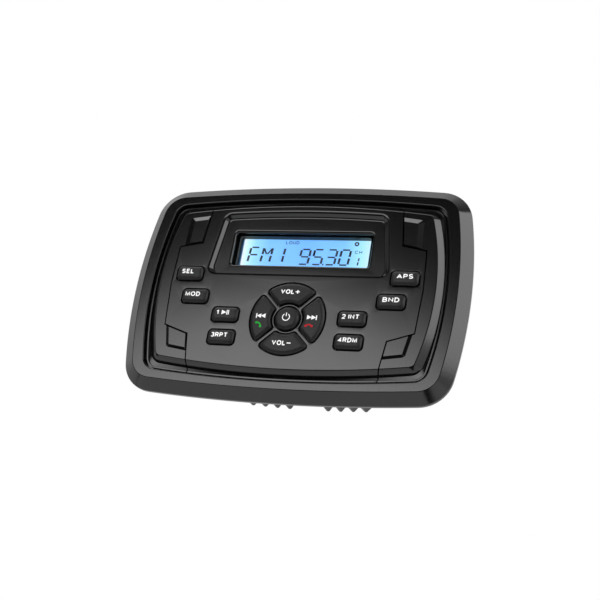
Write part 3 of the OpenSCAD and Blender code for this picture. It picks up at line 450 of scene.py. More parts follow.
def clear_lens():
    """Polycarbonate window, polished: clear, with a faint ripple of its moulding."""
    made = surface("polycarbonate_clear", "#f4f8fb", "#ffffff", 6.0, (0.02, 0.04), 0.02)
    shader = made.node_tree.nodes["Principled BSDF"]
    shader.inputs["Transmission Weight"].default_value = 1.0
    shader.inputs["IOR"].default_value = LENS_INDEX
    return made


# Colours of the lit glass beyond its pale left end, its strength, and how soft its dark border is
LIT_COLOURS = [(0.09, "#d4fbf8"), (0.14, "#a2e2ff"), (0.24, "#86c6ff"), (0.5, "#7cbcff"),
               (0.78, "#88caff"), (0.89, "#b2f2ff"), (1.0, "#f0fff4")]
LIT_STRENGTH = 0.95
BORDER_FADE = 0.006


def lit_glass(half_width):
    """Display glass in front of a blue backlight: a dark border, then paler ends where its lamps stand."""
    made = surface("display_glass_lit", "#3a78b4", "#4a8ac6", 3.0, (0.12, 0.18), 0.02)
    tree = made.node_tree
    shader = tree.nodes["Principled BSDF"]
    place = add(tree, "ShaderNodeTexCoord").outputs["Object"]
    parts = add(tree, "ShaderNodeSeparateXYZ", None, {"Vector": place})
    share = add(tree, "ShaderNodeMapRange", None,
                {"Value": parts.outputs["X"], "From Min": -half_width * MM, "From Max": half_width * MM})
    ramp = add(tree, "ShaderNodeValToRGB", None, {"Fac": share.outputs["Result"]})
    dark_end = (LIT_LEFT + half_width) / (2 * half_width)
    border = [(0.0, "#071219"), (dark_end - BORDER_FADE, "#0d2230")]
    stops = [*border, (dark_end, "#f6fff8"), *LIT_COLOURS]
    while len(ramp.color_ramp.elements) < len(stops):
        ramp.color_ramp.elements.new(0.5)
    for element, (position, code) in zip(ramp.color_ramp.elements, stops):
        element.position = position
        element.color = colour(code)
    tree.links.new(ramp.outputs["Color"], shader.inputs["Emission Color"])
    shader.inputs["Emission Strength"].default_value = LIT_STRENGTH
    return made


# Dark liquid crystal of a driven segment: an even navy.
crystal = surface("liquid_crystal_segment", "#05213f", "#082a52", 1.0, (0.3, 0.4), 0.02)


# Bezel: skirt, sloping wall, land, opening and the flange behind the face

def circle(x, z, r, steps=32):
    """Points round a circle."""
    return turned(np.linspace(0, 2 * math.pi, steps, endpoint=False), (x, z), r)


def rounded_rectangle(x, z, w, h, r, steps=8):
    """A rectangle with round corners, from the upper right corner round."""
    parts = []
    for i, (sx, sz) in enumerate([(1, 1), (-1, 1), (-1, -1), (1, -1)]):
        angles = np.linspace(i * math.pi / 2, (i + 1) * math.pi / 2, steps)
        parts.append(turned(angles, (x + sx * (w / 2 - r), z + sz * (h / 2 - r)), r))
    return np.concatenate(parts)


# Openings and holes in the flange: half-widths and heights, places and radii
FLANGE_KEYS = (58.55, 13.0)
FLANGE_THROAT = (42.0, 26.5)
FLANGE_DISPLAY = (36.6, 33.5)
PANEL_HOLE = (50.5, 27.3, 2.3)
CHASSIS_HOLE = (41.0, 30.8, 2.6, 1.5)
COVER_TAB = (7.0, 1.2)
TAB_CORNER = 0.3
TAB_GAP = 0.35
SIDE_TAB_X = PLATEAU[0] - 0.6
CORNER_TAB = (PLATEAU[0] - 9.8, PLATEAU[1] - 2.2)
FACE_SCREWS = [(22.0, 39.3), (22.0, -37.3)]
FACE_SCREW_R = 1.15


def flange_opening():
    """The stepped opening in the flange, for the keys, the chassis and the display."""
    (kx, kz), (tx, tz), (dx, dz) = FLANGE_KEYS, FLANGE_THROAT, FLANGE_DISPLAY
    quarter = [(kx, kz), (tx, kz), (tx, tz), (dx, tz), (dx, dz)]
    upper = quarter + [(-x, z) for x, z in quarter[::-1]]
    return np.array(upper + [(-x, -z) for x, z in upper])


def tab_places():
    """Centre, width and height of each cover tab on the right side."""
    long, thick = COVER_TAB
    x, z = CORNER_TAB
    return [(SIDE_TAB_X, 0.0, thick, long), (x, z, long, thick), (x, -z, long, thick)]


def bezel_frame():
    """The outer frame: skirt, sloping wall, land, throat and a flange with its holes."""
    wall = rounded_path(
        [(-SKIRT_WALL, 0), (-SKIRT_WALL, SKIRT_Y), (0, SKIRT_Y), (0, SLOPE_Y), (-SLOPE_RUN, LAND_Y),
         (-SLOPE_RUN - 2, LAND_Y)],
        [SKIRT_ROUND, SKIRT_ROUND, BEZEL_ROUND, BEZEL_ROUND])[:-1]
    throat = rounded_path([(2, LAND_Y), (0, LAND_Y), (0, FLANGE_Y)], [LAND_ROUND])[1:]
    loops = [at_depth(bowed(grown(BEZEL, d)), y) for d, y in wall]
    loops += [at_depth(bowed(grown(OPENING, d)), y) for d, y in throat]
    straight = [flange_opening()]
    for x, z, w, h in tab_places():
        for s in (1, -1):
            straight.append(rounded_rectangle(s * x, z, w + 2 * TAB_GAP, h + 2 * TAB_GAP, TAB_CORNER))
    for sx in (1, -1):
        straight += [circle(sx * x, z, FACE_SCREW_R, 16) for x, z in FACE_SCREWS]
        straight += [circle(sx * PANEL_HOLE[0], sz * PANEL_HOLE[1], PANEL_HOLE[2]) for sz in (1, -1)]
    x, z, wide, narrow = CHASSIS_HOLE
    spots = [(sx * x, sz * z) for sx in (1, -1) for sz in (1, -1)]
    sunk_front = [circle(*p, wide) for p in spots]
    sunk_back = [circle(*p, narrow) for p in spots]
    parts = [loft(loops)]
    parts.append(flat(FLANGE_Y, bowed(OPENING), *straight, *sunk_front))
    parts.append(flat(0, bowed(grown(BEZEL, wall[0][0])), *straight, *sunk_back))
    parts += [loft([at_depth(h, FLANGE_Y), at_depth(h, 0)]) for h in straight]
    cone_y = FLANGE_Y + wide - narrow
    for front, back in zip(sunk_front, sunk_back):
        parts.append(loft([at_depth(front, FLANGE_Y), at_depth(back, cone_y), at_depth(back, 0)]))
    return piece("bezel_frame_moulded", parts, "receiver", abs_black, "bezel_frame")


# Face: faceplate and covers share the plateau's edge, the channel and the lip

def edge_profile():
    """The face's edge as (outline, rise, depth), from the plateau over the lip to the skin's back."""
    slope = rounded_path([(-RIM_WIDTH, FACE_Y), (0, FACE_Y), EDGE_BEND, (CHANNEL_WIDTH, CHANNEL_Y)],
                         [PLATEAU_ROUND, EDGE_ROUND])[1:-1]
    lip = rounded_path(
        [(-CHANNEL_FLOOR, CHANNEL_Y), (0, CHANNEL_Y), (0, LIP_Y), (LIP_WIDTH, LIP_Y),
         (LIP_WIDTH, FLANGE_Y)],
        [CHANNEL_ROUND, LIP_ROUND, LIP_ROUND])
    made = []
    for d, y in slope:
        swell = np.interp(y - FACE_Y, *SIDE_SWELL)
        made.append(([PLATEAU[0] + d + swell, *grown(PLATEAU, d)[1:]], PLATEAU_RISE, y))
    made += [(grown(LIP_INNER, d), 0.0, y) for d, y in lip]
    inner = grown(PLATEAU, -RIM_WIDTH)
    return made + [(inner, PLATEAU_RISE, FLANGE_Y), (inner, PLATEAU_RISE, SKIN_Y)]


def spun(points, angle):
    """Points turned anticlockwise about the middle."""
    return points @ np.array([[math.cos(angle), math.sin(angle)], [-math.sin(angle), math.cos(angle)]])


def rect_key_opening(x, z, d):
    """The opening of a rectangular key, drawn outwards by d."""
    w, h = KEY_WIDTH + 2 * (KEY_GAP + d), KEY_HEIGHT + 2 * (KEY_GAP + d)
    return rounded_rectangle(x, z, w, h, KEY_CORNER + KEY_GAP + d)


def ring_key_outline(inset, quarter_turns=0, arc_steps=18, corner_steps=6):
    """A quarter of the round pad, drawn in by inset and turned anticlockwise."""
    outer, inner, gap = RING_OUTER - inset, RING_INNER + inset, RING_HALF_GAP + inset
    r = max(RING_CORNER - inset, 0.4)
    t = gap + r
    far = math.sqrt((outer - r) ** 2 - t * t)
    near = math.sqrt((inner + r) ** 2 - t * t)
    along, across = np.array([1, 1]) / math.sqrt(2), np.array([-1, 1]) / math.sqrt(2)
    far_centre, near_centre = far * along + t * across, near * along + t * across
    lean = math.atan2(far_centre[1], far_centre[0])
    dip = math.atan2(near_centre[1], near_centre[0])
    half = np.concatenate([
        turned(np.linspace(math.pi / 2, lean, arc_steps, endpoint=False), (0, 0), outer),
        turned(np.linspace(lean, -math.pi / 4, corner_steps), far_centre, r),
        turned(np.linspace(-math.pi / 4, dip - math.pi, corner_steps, endpoint=False), near_centre, r),
        turned(np.linspace(dip, math.pi / 2, arc_steps), (0, 0), inner),
    ])
    loop = np.concatenate([half, (half * (-1, 1))[::-1][1:-1]])
    return spun(loop, quarter_turns * math.pi / 2) + (0, PAD_Z)


def key_middle(name):
    """Middle of a rectangular key."""
    low, high = span("button_" + name)
    return (low[0] + high[0]) / 2, (low[2] + high[2]) / 2


def key_openings():
    """For each key's opening, a function of how far it is drawn outwards."""
    made = []
    for name in RECT_KEYS:
        x, z = key_middle(name)
        made.append(lambda d, x=x, z=z: rect_key_opening(x, z, d))
    for quarter_turns in range(4):
        made.append(lambda d, q=quarter_turns: ring_key_outline(-KEY_GAP - d, q))
    made.append(lambda d: circle(0, PAD_Z, POWER_R + KEY_GAP + d, 48))
    return made


# Legend of each rectangular key, its width and how far it sits from the key's middle
RECT_KEYS = {
    "select": ("SEL", 5.9, -0.8), "mode": ("MOD", 7.1, -0.9),
    "one": ("1", 1.1, -3.3), "three": ("3RPT", 7.8, -0.5),
    "scan": ("APS", 7.2, 0.1), "band": ("BND", 7.4, 0.1),
    "two": ("2 INT", 7.8, -0.4), "four": ("4RDM", 8.4, -0.1),
}
LEGEND_RISE = 0.55

# Display recess: centres of its lower and upper corners on the right, then its rounding, bow and slope
RECESS_LOW = (38.0, 9.8)
RECESS_HIGH = (35.0, 32.2)
RECESS_CORNER = 4.0
RECESS_BOW = 1.2
RECESS_SLOPE = 1.9
# Its lower edge dips and then falls steeply: depths, and how far in it stands there
RECESS_DIP = ((0.0, 0.2, 2.0), (-0.76, 0.2, 0.65))


def recess_outline(inset, depth, corner_steps=8, side_steps=4, top_steps=21):
    """The display recess: leaning sides and a bowed top, drawn in by inset, and its own lower edge."""
    r = RECESS_CORNER - inset
    squash = (1, (RECESS_CORNER - np.interp(depth, *RECESS_DIP)) / r)
    low, high = np.array(RECESS_LOW), np.array(RECESS_HIGH)
    lean = math.atan2(low[0] - high[0], high[1] - low[1])
    dip = math.atan(2 * RECESS_BOW / RECESS_HIGH[0])
    bottom = turned(np.linspace(-math.pi / 2, lean, corner_steps), (0, 0), r) * squash + low
    top = turned(np.linspace(lean, math.pi / 2 - dip, corner_steps), high, r)
    side = np.linspace(bottom[-1], top[0], side_steps + 2)[1:-1]
    x = np.linspace(top[-1][0], 0, top_steps // 2 + 1)[1:]
    crown = top[-1][1] + RECESS_BOW * (1 - (x / top[-1][0]) ** 2)
    right = np.concatenate([bottom, side, top, np.stack([x, crown], 1)])
    return np.concatenate([right, (right * (-1, 1))[::-1][1:]])


# Right half of the pan behind the display recess, from its foot to its top
PAN = [(41.0, 4.0), (41.0, 34.2), (38.5, 35.5), (24.0, 36.5)]


def faceplate():
    """The middle of the face, between the two seams."""
    profile = edge_profile()
    parts = []
    runs = {}
    for side in (1, -1):
        loops = [at_depth(middle_run(o, rise, side), y) for o, rise, y in profile]
        runs[side] = loops
        parts.append(loft(loops, closed=False))
        parts.append(polygon([loop[0] for loop in loops]))
        parts.append(polygon([loop[-1] for loop in loops]))
    joints = seam(-SEAM_WIDTH / 2)[1:6]

    def border(i):
        top, bottom = runs[1][i][:, [0, 2]], runs[-1][i][:, [0, 2]]
        return np.concatenate([top, joints * (-1, 1), bottom[::-1], joints[::-1]])

    openings = key_openings()
    hole_path = rounded_path([(1, FACE_Y), (0, FACE_Y), (0, SKIN_Y)], [HOLE_ROUND], 3)[1:]
    recess_path = rounded_path(
        [(-2, FACE_Y), (0, FACE_Y), (RECESS_SLOPE, RECESS_Y), (RECESS_SLOPE + 2, RECESS_Y)],
        [RECESS_ROUND, RECESS_FILLET])[1:-1]
    window_path = rounded_path([(2, RECESS_Y), (0, RECESS_Y), (0, LENS_Y)], [WINDOW_ROUND], 6)[1:]

    def window(d):
        wide, tall = WINDOW_WIDTH + 2 * d, WINDOW_HEIGHT + 2 * d
        return rounded_rectangle(0, WINDOW_Z, wide, tall, WINDOW_CORNER + d)

    pan = np.array(PAN + [(-x, z) for x, z in PAN[::-1]])
    recess_edge = recess_outline(recess_path[0][0], 0)
    key_edges = [o(hole_path[0][0]) for o in openings]
    parts.append(flat(FACE_Y, border(0), recess_edge, *key_edges))
    parts.append(flat(SKIN_Y, border(-1), pan, *[o(0) for o in openings]))
    parts += [loft([at_depth(o(d), y) for d, y in hole_path]) for o in openings]
    parts.append(loft([at_depth(recess_outline(d, y - FACE_Y), y) for d, y in recess_path]))
    floor_edge = recess_outline(recess_path[-1][0], RECESS_Y - FACE_Y)
    parts.append(flat(RECESS_Y, floor_edge, window(window_path[0][0])))
    parts.append(loft([at_depth(window(d), y) for d, y in window_path]))
    parts.append(loft([at_depth(pan, SKIN_Y), at_depth(pan, LENS_Y)]))
    parts.append(flat(LENS_Y, pan, window(0)))
    for sign, chain in ((1, joints), (-1, joints * (-1, 1))):
        end = 0 if sign > 0 else -1
        front = np.concatenate([[runs[1][0][end]], at_depth(chain, FACE_Y), [runs[-1][0][end]]])
        back = np.concatenate([[runs[1][-1][end]], at_depth(chain, SKIN_Y), [runs[-1][-1][end]]])
        parts.append(loft([front, back], closed=False))
    return piece("faceplate_moulded", parts, "receiver", abs_black, "faceplate")


# Side covers, drawn on the right and mirrored for the left

# Corner pads: rise of the upper and of the lower ones and how long their slopes are
PAD_SLOPES = ((0.9, 2.4), (0.6, 1.3))
PAD_CORNER = 1.6
PAD_ROUND = 0.5
# How far a pad's top stops short of the seam
PAD_SETBACK = 0.3
# Foot of the outer side, corner and end of the other side
PAD_UPPER = ((55.9, 14.8), (55.2, 33.6), (37.6, 36.2))
PAD_LOWER = ((57.5, -14.8), (54.3, -31.0), (37.6, -33.6))


def crossing(p, q, a, b):
    """Where the line through p and q meets the line through a and b."""
    p, q, a, b = (np.array(v, float) for v in (p, q, a, b))
    m = np.stack([q - p, a - b], 1)
    return p + np.linalg.solve(m, a - p)[0] * (q - p)


def pad_edge(points, inset, arm, upright, steps=8):
    """A pad's outer side, corner and end, drawn in by inset, from the seam's arm to its upright."""
    foot, corner, end = (np.array(p) for p in points)
    inward = np.array([points[2][0], (points[0][1] + points[2][1]) / 2]) - corner
    lines = []
    for a, b in ((foot, corner), (corner, end)):
        along = (b - a) / np.linalg.norm(b - a)
        side = np.array([-along[1], along[0]])
        side *= np.sign(side @ inward)
        lines.append((a + side * inset, b + side * inset))
    apex = crossing(*lines[0], *lines[1])
    start, finish = crossing(*lines[0], *arm), crossing(*lines[1], *upright)
    rounded = rounded_path([start, apex, finish], [max(PAD_CORNER - inset * 0.4, 0.3)], steps)
    return np.array(rounded)


def corner_pad(points, rise, run, knee, arm_end, upright_end):
    """A raised pad in a corner of the seam: its foot and its parts, whose sides lean away from the seam."""
    slope = rounded_path([(-1, FACE_Y), (0, FACE_Y), (run, FACE_Y - rise), (run + 1, FACE_Y - rise)],
                         [PAD_ROUND, PAD_ROUND], 3)[1:-1]

    def moved(seam_end, y):
        along = (seam_end - knee) / np.linalg.norm(seam_end - knee)
        side = np.array([-along[1], along[0]])
        side *= np.sign(side @ (np.array(points[1]) - knee)) * PAD_SETBACK * (FACE_Y - y) / rise
        return knee + side, seam_end + side

    edges = []
    for inset, y in slope:
        arm, upright = moved(arm_end, y), moved(upright_end, y)
        edges.append(at_depth(pad_edge(points, inset, arm, upright), y))
    tip = crossing(*arm, *upright)
    parts = [loft(edges, closed=False), flat(y, np.concatenate([edges[-1][:, [0, 2]], [tip]]))]
    for i in (0, -1):
        parts.append(polygon([*[e[i] for e in edges], (tip[0], y, tip[1]), (knee[0], FACE_Y, knee[1])]))
    return edges[0][:, [0, 2]], parts


# A cover's tab from its root to its tip: how much wider it is there, and depths
TAB_PATH = [(0.2, CHANNEL_Y + 0.3), (0.0, CHANNEL_Y + 0.5), (0.0, -0.5), (-0.3, -0.15)]
TAB_ROUND = 0.1


def cover_tab(x, z, w, h):
    """A tab behind a cover, wide at its root and tapered at its tip."""
    rings = []
    for d, y in rounded_path(TAB_PATH, [TAB_ROUND, TAB_ROUND], 2):
        outline = rounded_rectangle(x, z, w + 2 * d, h + 2 * d, TAB_CORNER + d * 0.4, 4)
        rings.append(at_depth(outline, y))
    return [loft(rings), *[flat(ring[0, 1], ring[:, [0, 2]]) for ring in (rings[0], rings[-1])]]


def side_cover(name, sign, body):
    """A cover beside the seam: the face's edge, two corner pads, the wall along the seam and its tabs."""
    profile = edge_profile()
    loops = [at_depth(cover_run(o, rise), y) for o, rise, y in profile]
    line = seam(SEAM_WIDTH / 2)
    upper, upper_parts = corner_pad(PAD_UPPER, *PAD_SLOPES[0], line[1], line[2], line[0])
    lower, lower_parts = corner_pad(PAD_LOWER, *PAD_SLOPES[1], line[5], line[4], line[6])
    parts = [loft(loops, closed=False), *upper_parts, *lower_parts]
    parts += [polygon([loop[i] for loop in loops]) for i in (0, -1)]
    front, back = loops[0][:, [0, 2]], loops[-1][:, [0, 2]]
    parts.append(flat(FACE_Y, np.concatenate([front, lower[::-1], line[4:1:-1], upper])))
    parts.append(flat(SKIN_Y, np.concatenate([back, line[5:0:-1]])))
    # Wall along the seam, from bend to bend
    front_edge = at_depth(np.array([front[0], upper[-1], line[1], upper[0], *line[2:5], lower[0], line[5],
                                    lower[-1], front[-1]]), FACE_Y)
    back_edge = at_depth(np.array([back[0], *line[1:6], back[-1]]), SKIN_Y)
    bends = [0, 2, 4, 5, 6, 8, 10]
    for i, (a, b) in enumerate(zip(bends, bends[1:])):
        parts.append(polygon([*front_edge[a:b + 1], back_edge[i + 1], back_edge[i]]))
    for place in tab_places():
        parts += cover_tab(*place)
    if sign < 0:
        parts = [mirrored(p) for p in parts]
    return piece(name + "_moulded", parts, body, abs_black, name)


# Keys: a crowned cap with a rounded edge and a retaining rim behind the face

# Width and steepest tilt of a key's shoulder, and the radius of the bend outside it
SHOULDER_RUN = 1.6
SHOULDER_TILT = math.radians(46)
KEY_BEND = 0.5


def key_shoulder():
    """The edge of a key as (inset, drop), from its wall over a tight bend and a shoulder to its top."""
    shoulder = KEY_SLIM + KEY_BEND * (1 - math.sin(SHOULDER_TILT))
    fall = math.tan(SHOULDER_TILT) * SHOULDER_RUN / 2
    made = []
    for t in np.linspace(math.pi / 2, SHOULDER_TILT, 6):
        inset = KEY_SLIM + KEY_BEND * (1 - math.sin(t))
        made.append((inset, fall + KEY_BEND * (math.cos(SHOULDER_TILT) - math.cos(t))))
    for s in np.linspace(1, 0, 9)[1:]:
        made.append((shoulder + SHOULDER_RUN * (1 - s), fall * s * s))
    return made


def key_cap(name, outline, crown, insets):
    """A soft-edged key from an outline(inset) and a depth crown(points) of its top."""
    rim = outline(-KEY_RIM)
    loops = [at_depth(rim, KEY_BACK_Y), at_depth(rim, KEY_RIM_Y), at_depth(outline(KEY_SLIM), KEY_RIM_Y)]
    for inset, drop in key_shoulder():
        points = outline(inset)
        loops.append(at_depth(points, crown(points) + drop))
    for inset in insets:
        points = outline(inset)
        loops.append(at_depth(points, crown(points)))
    points, faces = flat(0, outline(insets[-1]))
    points[:, 1] = crown(points[:, [0, 2]])
    parts = [loft(loops), (points, faces), flat(KEY_BACK_Y, rim)]
    piece("key_" + name, parts, name + "_key", rubber, "button_" + name)


def rect_key(name):
    """A rectangular key; gives its middle and its top's depth."""
    x, z = key_middle(name)
    front = span("button_" + name)[0][1]

    def outline(inset):
        wide, tall = KEY_WIDTH - 2 * inset, KEY_HEIGHT - 2 * inset
        return rounded_rectangle(x, z, wide, tall, min(KEY_CORNER + max(-inset, 0), tall / 2 - 0.1))

    def crown(points):
        return front + KEY_CROWN - np.sqrt(KEY_CROWN**2 - (points[:, 1] - z) ** 2)

    key_cap(name, outline, crown, RECT_TOP)
    return (x, z), crown


def pad_crown(front, radius):
    """Depth of a top that is crowned about the middle of the round pad."""
    def crown(points):
        square = points[:, 0] ** 2 + (points[:, 1] - PAD_Z) ** 2
        return front + radius - np.sqrt(radius**2 - square)

    return crown


def ring_key(name, quarter_turns):
    """A key of the round pad; gives its top's depth."""
    crown = pad_crown(RING_FRONT, RING_CROWN)
    key_cap(name, lambda d: ring_key_outline(d, quarter_turns), crown, RING_TOP)
    return crown


def power_key():
    """The round key in the pad's middle; gives its top's depth."""
    crown = pad_crown(span("button_power")[0][1], POWER_CROWN)
    key_cap("power", lambda d: circle(0, PAD_Z, POWER_R - d, 48), crown, POWER_TOP)
    return crown


# Printed legends, each riding with its key

# Ink: thickness, how many thicknesses up its middle lies, and the spacing of the cuts that let it bend
INK = 0.03
INK_LIFT = 0.6
INK_STEP = 0.35
# Height of capitals, their stroke as a share of it, and the space between letters one unit tall
CAP = 2.25
STROKE = 0.21
LETTER_SPACE = 0.4


def curl(x, z, rx, rz, start, stop, steps=14):
    """Points of a bent stroke: part of an ellipse between two angles in degrees."""
    angles = np.radians(np.linspace(start, stop, steps))
    return [(x + rx * math.cos(a), z + rz * math.sin(a)) for a in angles]


# Plain upright letters one unit tall: width, then the paths of the strokes
LETTERS = {
    " ": (0.0,),
    "A": (0.84, [(0, 0), (0.42, 1), (0.84, 0)], [(0.14, 0.3), (0.7, 0.3)]),
    "B": (0.64, [(0, 0.52), (0.3, 0.52), *curl(0.36, 0.76, 0.24, 0.24, -90, 90), (0, 1), (0, 0),
                 *curl(0.36, 0.26, 0.28, 0.26, -90, 90)]),
    "C": (0.78, curl(0.42, 0.5, 0.42, 0.5, 48, 312, 24)),
    "D": (0.68, [(0, 0.5), (0, 1), *curl(0.26, 0.5, 0.42, 0.5, 90, -90, 20), (0, 0), (0, 0.5)]),
    "E": (0.56, [(0.56, 1), (0, 1), (0, 0), (0.56, 0)], [(0, 0.52), (0.5, 0.52)]),
    "H": (0.62, [(0, 0), (0, 1)], [(0.62, 0), (0.62, 1)], [(0, 0.5), (0.62, 0.5)]),
    "I": (0.0, [(0, 0), (0, 1)]),
    "L": (0.52, [(0, 1), (0, 0), (0.52, 0)]),
    "M": (0.82, [(0, 0), (0, 1), (0.41, 0.12), (0.82, 1), (0.82, 0)]),
    "N": (0.66, [(0, 0), (0, 1), (0.66, 0), (0.66, 1)]),
    "O": (0.84, curl(0.42, 0.5, 0.42, 0.5, 90, 450, 36)),
    "P": (0.62, [(0, 0), (0, 1), *curl(0.34, 0.73, 0.28, 0.27, 90, -90), (0, 0.46)]),
    "R": (0.66, [(0, 0), (0, 1), *curl(0.36, 0.74, 0.27, 0.26, 90, -90), (0, 0.48)],
          [(0.34, 0.48), (0.66, 0)]),
    "S": (0.62, [*curl(0.31, 0.75, 0.29, 0.25, 25, 265), *curl(0.31, 0.25, 0.31, 0.25, 90, -155)]),
    "T": (0.68, [(0, 1), (0.68, 1)], [(0.34, 1), (0.34, 0)]),
    "U": (0.62, [(0, 1), *curl(0.31, 0.31, 0.31, 0.31, 180, 360), (0.62, 1)]),
    "V": (0.76, [(0, 1), (0.38, 0), (0.76, 1)]),
    "1": (0.3, [(0, 0.74), (0.3, 1), (0.3, 0)]),
    "2": (0.6, [*curl(0.3, 0.71, 0.29, 0.29, 165, -35), (0, 0), (0.6, 0)]),
    "3": (0.6, [*curl(0.29, 0.76, 0.27, 0.24, 150, -85), *curl(0.29, 0.26, 0.31, 0.26, 90, -155)]),
    "4": (0.64, [(0.46, 0), (0.46, 1), (0, 0.28), (0.64, 0.28)]),
    "+": (0.96, [(0, 0.5), (0.96, 0.5)], [(0.48, 0.02), (0.48, 0.98)]),
    "-": (0.9, [(0, 0.5), (0.9, 0.5)]),
}


# Keeps the mitre of a sharp bend short
MITRE_LIMIT = 0.7


def thickened(path, width):
    """The outline of a stroke of even width along a path, mitred at its bends."""
    path = np.array(path, float)
    along = np.diff(path, axis=0)
    kept = np.linalg.norm(along, axis=1) > 1e-6
    path = path[np.concatenate([[True], kept])]
    along = along[kept] / np.linalg.norm(along[kept], axis=1)[:, None]
    across = np.stack([-along[:, 1], along[:, 0]], 1)
    mitre = np.concatenate([across[:1], across]) + np.concatenate([across, across[-1:]])
    mitre *= width / np.maximum((mitre**2).sum(1), MITRE_LIMIT)[:, None]
    return np.concatenate([path + mitre, (path - mitre)[::-1]])


def lettering(words, width, cap=CAP, stroke=STROKE):
    """Words of a given width and height, centred, as flat marks."""
    x, paths = 0.0, []
    for letter in words:
        wide, *strokes_of_letter = LETTERS[letter]
        paths += [np.array(path, float) + (x, 0) for path in strokes_of_letter]
        x += wide + LETTER_SPACE
    tall = cap * (1 - stroke)
    stretch = (width - stroke * cap) / (x - LETTER_SPACE)
    loops = []
    for path in paths:
        loop = thickened(path * (stretch, tall), stroke * cap) - (width / 2 - stroke * cap / 2, tall / 2)
        loops.append(np.clip(loop, (-width, -cap / 2), (width, cap / 2)))
    return shape(*loops)


def shape(*loops):
    """Closed flat shapes joined into one and cut at level lines, so that ink follows a crowned top."""
    loops = [np.array(loop, float) for loop in loops]
    points, edges = np.concatenate(loops), []
    for loop in loops:
        start, n = len(edges), len(loop)
        edges += [(start + i, start + (i + 1) % n) for i in range(n)]
    (left, low), (right, high) = points.min(0), points.max(0)
    levels = np.arange(low + INK_STEP / 2, high, INK_STEP)
    edges += [(len(points) + 2 * i, len(points) + 2 * i + 1) for i in range(len(levels))]
    ends = [Vector((x, z)) for z in levels for x in (left - 1, right + 1)]
    made, _, triangles, *_ = delaunay_2d_cdt([Vector(p) for p in points] + ends, edges, [], 0, 1e-6)
    made = np.array([tuple(p) for p in made])
    triangles = np.array(triangles)
    centres = made[triangles].mean(1)
    triangles = triangles[np.any([inside(centres, loop) for loop in loops], axis=0)]
    sides = {(int(t[i]), int(t[i - 2])) for t in triangles for i in range(3)}
    n = len(made)
    faces = [tuple(int(i) for i in t) for t in triangles]
    faces += [tuple(int(i) + n for i in t[::-1]) for t in triangles]
    faces += [(a, a + n, b + n, b) for a, b in sorted(sides) if (b, a) not in sides]
    return np.concatenate([np.column_stack([made, np.full(n, s)]) for s in (0.5, -0.5)]), faces


def printed(marks, crown, x, z):
    """Marks laid on a crowned top at x, z."""
    points, faces = marks
    places = points[:, :2] + (x, z)
    return at_depth(places, crown(places) - INK * (INK_LIFT + points[:, 2])), faces


def triangle(x, half, z=0.0, direction=1):
    """An arrow head that points right or left."""
    return [(x - direction * half, z - half), (x + direction * half, z), (x - direction * half, z + half)]


def bar(x, w, h, z=0.0):
    """An upright bar."""
    return [(x - w / 2, z - h / 2), (x + w / 2, z - h / 2), (x + w / 2, z + h / 2), (x - w / 2, z + h / 2)]


def band(radius, width, start, stop, x=0.0, z=0.0, steps=28):
    """A bent bar between two angles in degrees."""
    angles = np.radians(np.linspace(start, stop, steps))
    outer = turned(angles, (x, z), radius + width / 2)
    inner = turned(angles[::-1], (x, z), radius - width / 2)
    return np.concatenate([outer, inner])


# Handset sign: radius, width, start, stop and centre of its grip, then place and radius of an end
HANDSET_GRIP = (1.5, 0.62, 35, 145, 0, -1.0)
HANDSET_END = (1.35, -0.15, 0.56)


def handset(lean):
    """A telephone receiver: a bent grip with an ear and a mouth piece, turned by some degrees."""
    x, z, radius = HANDSET_END
    ends = [circle(s * x, z, radius, 14) for s in (1, -1)]
    return shape(*[spun(loop, math.radians(lean)) for loop in (band(*HANDSET_GRIP), *ends)])


def print_on(name, body, material, *marks):
    """Marks in one ink that ride on a body."""
    piece("print_" + name, marks, body, material, sharp_degrees=30)


# Skip and play signs: half a triangle's height, a bar's width and height, and the play sign's shift
SKIP_ARROW = 1.05
SKIP_BAR = (0.45, 2.2)
PLAY_ARROW = 1.1
PLAY_BAR = (0.42, 2.2)
PLAY_SHIFT = 0.4
# Power sign: radius of its ring, stroke, and height and centre of its bar
POWER_RING = 1.6
POWER_STROKE = 0.4
POWER_BAR = (1.7, 1.25)


def ring_prints():
    """For each key of the round pad its quarter turns, then its prints: name, ink, marks and place."""
    reach = (RING_OUTER + RING_INNER) / 2
    back = shape(bar(-2.1, *SKIP_BAR), triangle(-0.95, SKIP_ARROW, 0, -1),
                 triangle(1.05, SKIP_ARROW, 0, -1))
    on = shape(triangle(-1.05, SKIP_ARROW), triangle(0.95, SKIP_ARROW), bar(2.1, *SKIP_BAR))
    return {
        "volume_up": (0, ("volume_up", ink_white, lettering("VOL+", 9.0), -0.2, reach + 0.2)),
        "previous": (1, ("previous", ink_white, back, 0.4 - reach, 0.5),
                     ("call", ink_green, handset(-40), -0.1 - reach, -3.5)),
        "volume_down": (2, ("volume_down", ink_white, lettering("VOL-", 8.8), -0.3, 0.4 - reach)),
        "next": (3, ("next", ink_white, on, reach - 0.8, 0.5),
                 ("hang_up", ink_red, handset(0), reach - 1.6, -3.4)),
    }


